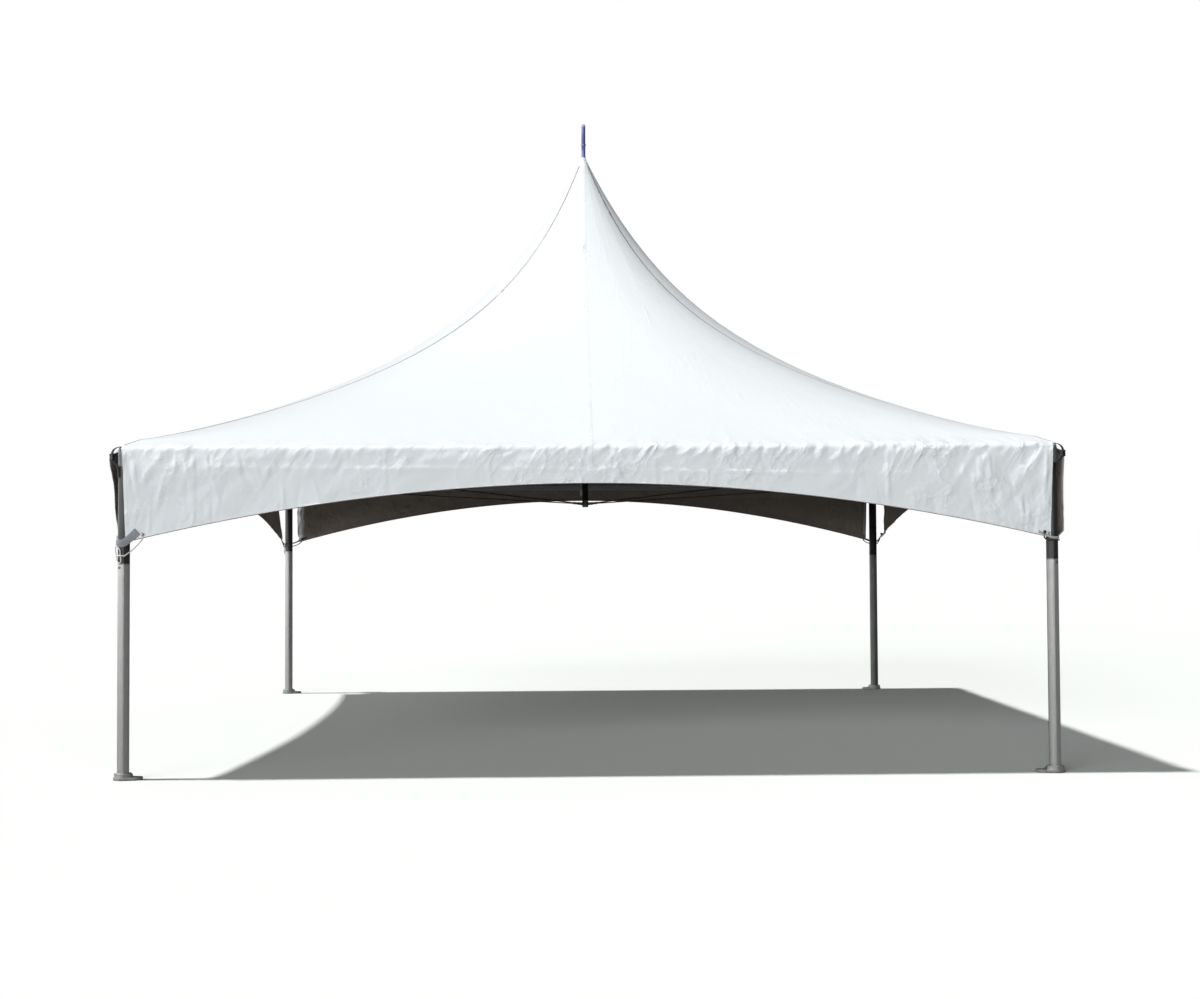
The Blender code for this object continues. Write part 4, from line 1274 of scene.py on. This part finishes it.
# %% The spire
SPIRE_RADIUS = 0.0170
CAP_RADIUS = 0.0172
CAP_ROUNDING = 0.012
SPIRE_TOP = 5.052
PEG_HEIGHT = 4.875
crown_height = roof_height(CROWN_RADIUS / HALF)
spire = Builder()
profile = [
    (0.0150, crown_height - 0.020),
    (SPIRE_RADIUS, crown_height - 0.018),
    (SPIRE_RADIUS, crown_height + 0.020),
    (0.0188, crown_height + 0.022),
    (0.0188, crown_height + 0.034),
    (SPIRE_RADIUS, crown_height + 0.036),
    (SPIRE_RADIUS, 4.862),
    (0.0182, 4.864),
    (0.0182, 4.886),
    (SPIRE_RADIUS, 4.888),
    (SPIRE_RADIUS, SPIRE_TOP - 0.026),
    (0.0150, SPIRE_TOP - 0.024),
]
lathe(spire, profile, (0, 0, 0), steps=32)
for sign in (-1, 1):
    peg = [(0.0040, 0.012), (0.0040, 0.0205), (0.0028, 0.0218)]
    lathe(spire, peg, (0, 0, PEG_HEIGHT), (sign, 0, 0), 12)
spire.make("spire", [blue_paint], replaced=["mast_tip"], sharp=35)
cap = Builder()
dome = [(CAP_RADIUS, SPIRE_TOP - 0.026)]
for angle in np.linspace(0, 1.45, 7):
    height = SPIRE_TOP - CAP_ROUNDING + CAP_ROUNDING * math.sin(angle)
    dome.append((CAP_RADIUS * math.cos(angle), height))
lathe(cap, dome, (0, 0, 0), steps=32)
cap.make("spire_cap", [pale_cap], sharp=50)
sleeve = Builder()
collar = [(0.0262, -0.012), (0.0268, 0.000), (0.0235, 0.008)]
collar += [(0.0195, 0.020), (0.0192, 0.026), (0.0172, 0.027)]
lathe(sleeve, [(radius, crown_height + height) for radius, height in collar], (0, 0, 0), steps=32)
sleeve.make("peak_sleeve", [vinyl_band], sharp=60)

# %% [markdown]
# ## Webbing and rope at the corners
# A black webbing loop comes out of each cut corner of the roof, bows out and goes down to the
# leg through a cam buckle, and it pulls the corner tight. Lower down a strap and a rope tie the
# two skirts round the leg. Such parts are replaced one at a time over the years, so their colours
# and widths differ from corner to corner. The front left has a broad grey strap and a white rope.

# %% Woven materials
def make_woven(name, colour, per_metre, rib_share, depth):
    """Woven polyester with ribs across its length, a little faded and fuzzy, with painted shade between the
    ribs.
    """
    material, tree, shader = new_material(name, 0.82)
    place = add(tree, "TexCoord").outputs
    fade = dirt(tree, place["Object"], 9.0, 0.35, 0.75)
    ribs = fill(tree, threads, {"Per metre": per_metre, "Along share": rib_share}, {"Place": place["UV"]})
    base = mix(tree, fade, colour, shade(colour, 1.35, added=0.01))
    # Painted shade: the grooves between the ribs are darker.
    base = mix(tree, vary(tree, ribs, 0.35, 0.0), base, shade(colour, 0.55))
    tree.links.new(base, shader.inputs["Base Color"])
    fuzz = add(tree, "TexNoise", {"Scale": 700.0, "Detail": 3.0}, {"Vector": place["Object"]}).outputs["Fac"]
    bumped(tree, shader, (ribs, depth, 0.8), (fuzz, 0.0003, 0.3))
    shader.inputs["Sheen Weight"].default_value = 0.15
    return material


WEBBING_WEAVE = {"per_metre": 420.0, "rib_share": 0.5, "depth": 0.0006}
ROPE_WEAVE = {"per_metre": 600.0, "rib_share": 1.0, "depth": 0.0003}
dark_web = make_woven("dark_webbing", (0.020, 0.020, 0.023), **WEBBING_WEAVE)
grey_web = make_woven("grey_webbing", (0.27, 0.28, 0.30), **WEBBING_WEAVE)
pale_web = make_woven("pale_webbing", (0.42, 0.415, 0.415), **WEBBING_WEAVE)
white_rope = make_woven("white_rope", (0.86, 0.81, 0.75), **ROPE_WEAVE)
dark_cord = make_woven("dark_cord", (0.045, 0.040, 0.042), **ROPE_WEAVE)
brown_cord = make_woven("brown_cord", (0.42, 0.27, 0.21), **ROPE_WEAVE)
print("ribs a metre:", WEBBING_WEAVE["per_metre"], "in webbing,", ROPE_WEAVE["per_metre"], "in rope")


# %% Helpers for the corners
STITCH_PITCH = 0.006
STITCH = 0.0038
THREAD = 0.0007


def side_point(side, along, out, height):
    """A point given along a side, out from the tent's middle, and up."""
    return turned_to(side, np.array([along, -out, height], float))


def corner_sides(corner):
    """The two sides that meet at a corner, each with the end of its valance that is there."""
    found = []
    for side in range(4):
        for end in VALANCE_ENDS[side]:
            point = side_point(side, end, HALF, 0)
            if point[0] * CORNERS[corner][0] > 1 and point[1] * CORNERS[corner][1] > 1:
                found.append((side, end))
    return found


def add_stitches(builder, path, outs):
    """A row of short raised stitches along a path, standing out from a surface."""
    run = run_along(path)
    for place in np.arange(STITCH_PITCH / 2, run[-1], STITCH_PITCH):
        start, end = (read_at(place + shift, run, path) for shift in (-STITCH / 2, STITCH / 2))
        if np.linalg.norm(end - start) < STITCH / 2:
            continue
        out = unit(read_at(place, run, outs))
        axes = axes_of(end - start, hint=tuple(out))
        middle = np.mean([start, end], 0) + out * THREAD * 0.3
        block(builder, middle, axes, (THREAD, THREAD, STITCH), THREAD * 0.25)


def stitch_box(builder, centre, along, across, out, length, width):
    """Stitches in the usual box with a cross in it."""
    signs = ((-1, -1), (1, -1), (1, 1), (-1, 1))
    a, b, c, d = (centre + along * i * length / 2 + across * j * width / 2 for i, j in signs)
    for start, end in ((a, b), (b, c), (c, d), (d, a), (a, c), (b, d)):
        path = np.array([start + (end - start) * share for share in np.linspace(0, 1, 8)])
        add_stitches(builder, path, np.tile(out, (8, 1)))


print("sides at each corner:", {corner: [side for side, end in corner_sides(corner)] for corner in CORNERS})

# %% Corner loops with buckles
LOOP_BOW = ((-0.004, 0), (0.024, 0.008), (0.046, 0.024), (0.056, 0.050), (0.054, 0.086))
LOOP_LANDING = 0.165
LOOP_END = 0.200
LOOP_WIDTH = 0.030
LOOP_THICKNESS = 0.003
WEBBING_GAP = 0.0018
EDGE_HEIGHT = roof_height(CUT_DISTANCE / math.sqrt(2) / HALF) - 0.003
ON_LEG = LEG_PLACE * math.sqrt(2) + TUBE_RADIUS + WEBBING_GAP


def loop_path(corner):
    """The loop's middle line, from the roof's cut corner to the leg."""
    out = unit((*CORNERS[corner], 0))
    route = [(CUT_DISTANCE + away, drop) for away, drop in LOOP_BOW]
    route.append(((3 * ON_LEG + CUT_DISTANCE + LOOP_BOW[-1][0]) / 4, (LOOP_BOW[-1][1] + LOOP_LANDING) / 2))
    route += [(ON_LEG, LOOP_LANDING), (ON_LEG, LOOP_END)]
    knots = [out * away + np.array([0, 0, EDGE_HEIGHT - drop]) for away, drop in route]
    return out, np.vstack([smooth_path(knots[:-1], 6), knots[-1]])


for corner in CORNERS:
    out, path = loop_path(corner)
    across = np.array([-out[1], out[0], 0])
    loop = Builder()
    webbing(loop, path, np.tile(across, (len(path), 1)), LOOP_WIDTH, LOOP_THICKNESS)
    loop.make("loop_" + corner, [dark_web], replaced=["corner_loop_" + corner], sharp=50)
    buckle = Builder()
    middle = out * (CUT_DISTANCE + 0.0555) + np.array([0, 0, EDGE_HEIGHT - 0.068])
    hang = unit(np.array([0, 0, -1.0]) - out * 0.06)
    face = unit(np.cross(across, hang))
    face *= np.sign(face @ out)
    axes = np.array([across, hang, face])
    for sign in (-1, 1):
        block(buckle, middle + across * sign * 0.0175, axes, (0.003, 0.042, 0.017), 0.0008)
    for shift, height in ((-0.016, -0.004), (0.016, -0.004), (-0.004, 0.006)):
        rod = middle + hang * shift + face * height
        lathe(buckle, [(0.0028, -0.0175), (0.0028, 0.0175)], rod, across, 12)
    lever = middle + hang * 0.004 + face * 0.0075
    tilt = np.array([across, unit(hang + face * 0.22), unit(face - hang * 0.22)])
    block(buckle, lever, tilt, (0.033, 0.034, 0.004), 0.0012)
    for step in range(5):
        tooth = lever + tilt[1] * (-0.012 + 0.006 * step) + tilt[2] * 0.0025
        block(buckle, tooth, tilt, (0.028, 0.0022, 0.0022), 0.0005)
    buckle.make("buckle_" + corner, [black_steel], sharp=35)

# %% [markdown]
# ## Straps round the legs
# The strap is sewn on the outside of one skirt, goes round the outside of the leg and is sewn on
# the other. Where it was pulled up by hand it climbs on the cloth, most of all at the front left.

# %% Skirt straps
STRAP_HEIGHT = 1.545
STRAP_RADIUS = HALF - LEG_PLACE + WEBBING_GAP
STRAP_THICKNESS = 0.0026
STRAP_LAP = 0.097
LAP_STEPS = 8
STITCH_BOX = 0.034
# For each corner: width, rise above STRAP_HEIGHT, climb on the first and second side, material
STRAPS = {
    "front_left": (0.050, -0.030, (0.078, 0.020), grey_web),
    "front_right": (0.016, -0.024, (0.040, 0.045), pale_web),
    "back_left": (0.012, -0.020, (0.070, 0.070), dark_web),
    "back_right": (0.018, -0.020, (0.072, 0.055), dark_web),
}


def strap_path(corner, rise, climbs):
    """The strap's middle line and its outward direction at each point."""
    centre = on_leg_axis(corner, STRAP_HEIGHT + rise)
    ends = corner_sides(corner)
    first, second = (OUTWARD[side] for side, end in ends)
    laps = []
    for (side, end), climb in zip(ends, climbs):
        lap = []
        for share in np.linspace(1, 0, LAP_STEPS + 1)[:-1]:
            to_leg = (math.copysign(LEG_PLACE, end) - end) * (1 - share)
            along = end - math.copysign(STRAP_LAP * share, end) + to_leg
            lap.append(side_point(side, along, LEG_PLACE + STRAP_RADIUS, centre[2] + climb * share**1.3))
        laps.append(lap)
    turn = np.linspace(0, math.pi / 2, 11)
    bend = [first * math.cos(angle) + second * math.sin(angle) for angle in turn]
    path = laps[0] + [centre + around * STRAP_RADIUS for around in bend] + laps[1][::-1]
    return np.array(path), np.array([first] * LAP_STEPS + bend + [second] * LAP_STEPS)


for corner, (width, rise, climbs, material) in STRAPS.items():
    path, outs = strap_path(corner, rise, climbs)
    across = np.cross(outs, np.gradient(path, axis=0))
    strap = Builder()
    webbing(strap, path, across, width, STRAP_THICKNESS)
    strap.make("strap_" + corner, [material], replaced=["corner_strap_" + corner], sharp=50)
    stitches = Builder()
    for index, step in ((2, 1), (len(path) - 3, -1)):
        along = unit(path[index + step] - path[index])
        patch_centre = path[index] + outs[index] * 0.0015
        size = (STITCH_BOX, width * 0.72)
        stitch_box(stitches, patch_centre, along, unit(across[index]), outs[index], *size)
    stitches.make("strap_stitches_" + corner, [white_rope], sharp=40)

# %% [markdown]
# ## Ropes and eyelets
# The rope is laid from three strands. It is knotted in a steel eyelet in each hem and passes
# round the outside of the leg. At two corners the spare end is left as a slack loop, which hangs
# round the leg from an eyelet of its own.

# %% Places for the ropes
ROPE_RADIUS = 0.0052
# For each corner: the rope's height on the leg, how far in its eyelets are, its material and
# whether a slack loop hangs there
ROPES = {
    "front_left": (1.436, 0.125, white_rope, True),
    "front_right": (1.506, 0.060, dark_cord, False),
    "back_left": (1.502, 0.045, brown_cord, True),
    "back_right": (1.500, 0.045, dark_cord, False),
}
# The slack loop round the leg: out to the side, out to the front or back, and up
SLACK_LOOP = (
    (0.052, 0.004, 1.500),
    (0.047, 0.014, 1.446),
    (0.036, 0.027, 1.408),
    (0.0245, 0.0370, 1.388),
    (0.012, 0.0425, 1.390),
    (0.006, 0.0438, 1.405),
    (0.010, 0.0432, 1.440),
    (0.013, 0.0455, 1.472),
    (0.030, 0.0345, 1.488),
    (0.047, 0.0160, 1.503),
)


def hem_place(side, end, inset, height_above):
    """A point above a hem's edge, this far in from the valance's end."""
    along = end - math.copysign(inset, end)
    return side_point(side, along, HALF, float(hem_height(side, along)) + height_above)


def around_leg(corner, height, radius):
    """Points round a leg, from a little before one side's outward direction to past the other's."""
    first, second = (OUTWARD[side] for side, end in corner_sides(corner))
    points = []
    for share in np.linspace(-0.25, 1.25, 12):
        angle = math.pi / 2 * share
        outward = first * math.cos(angle) + second * math.sin(angle)
        points.append(on_leg_axis(corner, height) + outward * radius)
    return points


def add_eyelet(builder, place, out, radius, thickness):
    """A rolled ring on each face of the cloth."""
    for shift in (0.0016, -0.0022):
        hoop(builder, place + out * shift, out, radius, thickness)


def add_knot(builder, place, size, direction):
    """An overhand knot, drawn as a small trefoil of rope."""
    first, second, last = axes_of(direction)
    t = np.linspace(0, 2 * math.pi, 40, endpoint=False)
    x, y, z = np.sin(t) + 2 * np.sin(2 * t), np.cos(t) - 2 * np.cos(2 * t), -np.sin(3 * t)
    path = np.asarray(place) + size / 3 * (x[:, None] * first + y[:, None] * second + 1.6 * z[:, None] * last)
    rings = []
    ahead = unit(np.roll(path, -1, 0) - np.roll(path, 1, 0))
    for point, direction_now in zip(path, ahead):
        side, other, _ = axes_of(direction_now, hint=tuple(last))
        angle = 2 * math.pi * np.arange(8)[:, None] / 8
        rings.append(point + ROPE_RADIUS * 0.9 * (side * np.cos(angle) + other * np.sin(angle)))
    builder.add_tube(np.array(rings), capped=False)


print("slack loop:", len(SLACK_LOOP), "knots on its curve")

# %% Ropes
EYELET_HEIGHT = 0.024
EYELET = (0.0085, 0.0022)
SMALL_EYELET = (0.0075, 0.0020)
ROPE_GAP = 0.0004
TURNS_PER_METRE = 45
STRANDS = lobed(ROPE_RADIUS, 3, 0.22, 12)
for corner, (rope_height, inset, material, slack_loop) in ROPES.items():
    ends = corner_sides(corner)
    rope = Builder()
    eyelets = Builder()
    wrap = around_leg(corner, rope_height, TUBE_RADIUS + ROPE_RADIUS + ROPE_GAP)
    stretches = []
    for (side, end), nearest in zip(ends, (wrap[0], wrap[-1])):
        eye, out = hem_place(side, end, inset, EYELET_HEIGHT), OUTWARD[side]
        add_eyelet(eyelets, eye, out, *EYELET)
        behind = eye - out * 0.006 + (0, 0, -0.034)
        sagging = behind * 0.5 + nearest * 0.5 - np.array([0, 0, 0.010])
        stretches.append([eye + out * 0.008, behind, sagging])
    knots = [*stretches[0], *wrap, *stretches[1][::-1]]
    sweep(rope, smooth_path(knots, 9), STRANDS, TURNS_PER_METRE)
    for side, end in ends:
        eye, out = hem_place(side, end, inset, EYELET_HEIGHT), OUTWARD[side]
        add_knot(rope, eye + out * 0.010, 0.0065, out)
    if slack_loop:
        side, end = ends[0] if ends[0][0] % 2 else ends[1]
        near, out = hem_place(side, end, 0.030, 0.030), OUTWARD[side]
        add_eyelet(eyelets, near, out, *SMALL_EYELET)
        knot = near + out * 0.011
        mirrored = np.array([*CORNERS[corner], 1])
        hanging = [on_leg_axis(corner) + mirrored * place for place in SLACK_LOOP]
        sweep(rope, smooth_path([knot, *hanging, knot], 8), STRANDS * 0.85, TURNS_PER_METRE)
        add_knot(rope, knot, 0.0060, out)
    rope.make("rope_" + corner, [material], replaced=["corner_rope_" + corner])
    eyelets.make("eyelets_" + corner, [steel], sharp=40)

# %% [markdown]
# ## Floor and light
# The tent stands on a plain pale floor. A high sun from the left gives the crisp shadow, and a
# broad soft light from low at the front left fills the skirt that faces the camera. It leaves out
# the legs, feet, beams and mast, so they keep their own shading. The sky is dim, so the inside of
# the tent stays dark, and the camera sees it as plain white. What is shiny mirrors a bright patch
# of sky on the left, which gives the tubes their highlight.

# %% Floor
FLOOR_REACH = 150
floor_mesh = bpy.data.meshes.new("floor")
floor_corners = [(a * FLOOR_REACH, b * FLOOR_REACH, 0) for a, b in ((-1, -1), (1, -1), (1, 1), (-1, 1))]
floor_mesh.from_pydata(floor_corners, [], [(0, 1, 2, 3)])
floor = bpy.data.objects.new("floor", floor_mesh)
bpy.context.scene.collection.objects.link(floor)
floor_material, tree, shader = new_material("pale_floor", 0.9)
seen = add(tree, "LightPath").outputs["Is Camera Ray"]
mirrored = add(tree, "LightPath").outputs["Is Glossy Ray"]
unseen = mix(tree, mirrored, (0.24, 0.24, 0.24), (0.06, 0.06, 0.06))
tree.links.new(mix(tree, seen, unseen, (0.938, 0.963, 0.928)), shader.inputs["Base Color"])
shader.inputs["Specular IOR Level"].default_value = 0.0
floor_mesh.materials.append(floor_material)
print("floor:", floor_material.name, 2 * FLOOR_REACH, "m across")


# %% Lights and sky
SUN_FROM = (-0.40, 0.0, 1.0)
SOFT_LIGHT_FROM = (-0.50, -0.83, 0.16)
BRIGHT_PATCH_FROM = (-0.94, -0.34, 0.0)


def add_sun(name, direction, strength, degrees, reflected=True):
    """A distant light that shines from a direction, softer the more degrees it spans."""
    data = bpy.data.lights.new(name, "SUN")
    data.energy = strength
    data.angle = math.radians(degrees)
    light = bpy.data.objects.new(name, data)
    light.rotation_euler = Vector(direction).to_track_quat("Z", "Y").to_euler()
    light.visible_glossy = reflected
    bpy.context.scene.collection.objects.link(light)
    return light


def ramp(tree, value, low, high, start=0.0, end=1.0):
    """A smooth change from start to end as a value goes from low to high."""
    return ranged(tree, value, low, high, start, end, "SMOOTHSTEP")


add_sun("sun", SUN_FROM, 2.75, 3)
soft_front = add_sun("soft_front", SOFT_LIGHT_FROM, 2.54, 40, reflected=False)
soft_front.data.color = (0.96, 0.985, 1.0)
lit_softly = bpy.data.collections.new("lit softly")
for thing in [piece for piece in bpy.context.scene.objects if piece.type == "MESH"]:
    if not thing.name.startswith(("leg_", "base_plate_", "eave_beam_", "mast")):
        lit_softly.objects.link(thing)
soft_front.light_linking.receiver_collection = lit_softly

world = bpy.data.worlds.new("studio")
bpy.context.scene.world = world
world.use_nodes = True
tree = world.node_tree
background = tree.nodes["Background"]
background.inputs["Color"].default_value = (1, 1, 1, 1)
path = add(tree, "LightPath").outputs
direction = add(tree, "TexCoord").outputs["Generated"]
axes = add(tree, "SeparateXYZ", None, {0: direction}).outputs
height = axes["Z"]
brighter_right = ramp(tree, axes["X"], 0.0, 0.7, 1.0, 1.7)
skylight = times(tree, ramp(tree, height, 0.35, 0.75, 0.26, 0.02), brighter_right)
on_left = ramp(tree, dot(tree, direction, BRIGHT_PATCH_FROM), 0.10, 0.30)
low_left = times(tree, on_left, ramp(tree, height, 0.60, 0.25))
mirrored = ramp(tree, low_left, 0.0, 1.0, 0.03, 2.30)
unseen = add(tree, "Mix", None, {0: path["Is Glossy Ray"], 2: skylight, 3: mirrored})
strength = add(tree, "Mix", {3: 1.0}, {0: path["Is Camera Ray"], 2: unseen.outputs[0]})
tree.links.new(strength.outputs[0], background.inputs["Strength"])
bpy.context.scene.view_settings.view_transform = "Standard"
print("lights:", [light.name for light in bpy.data.lights])
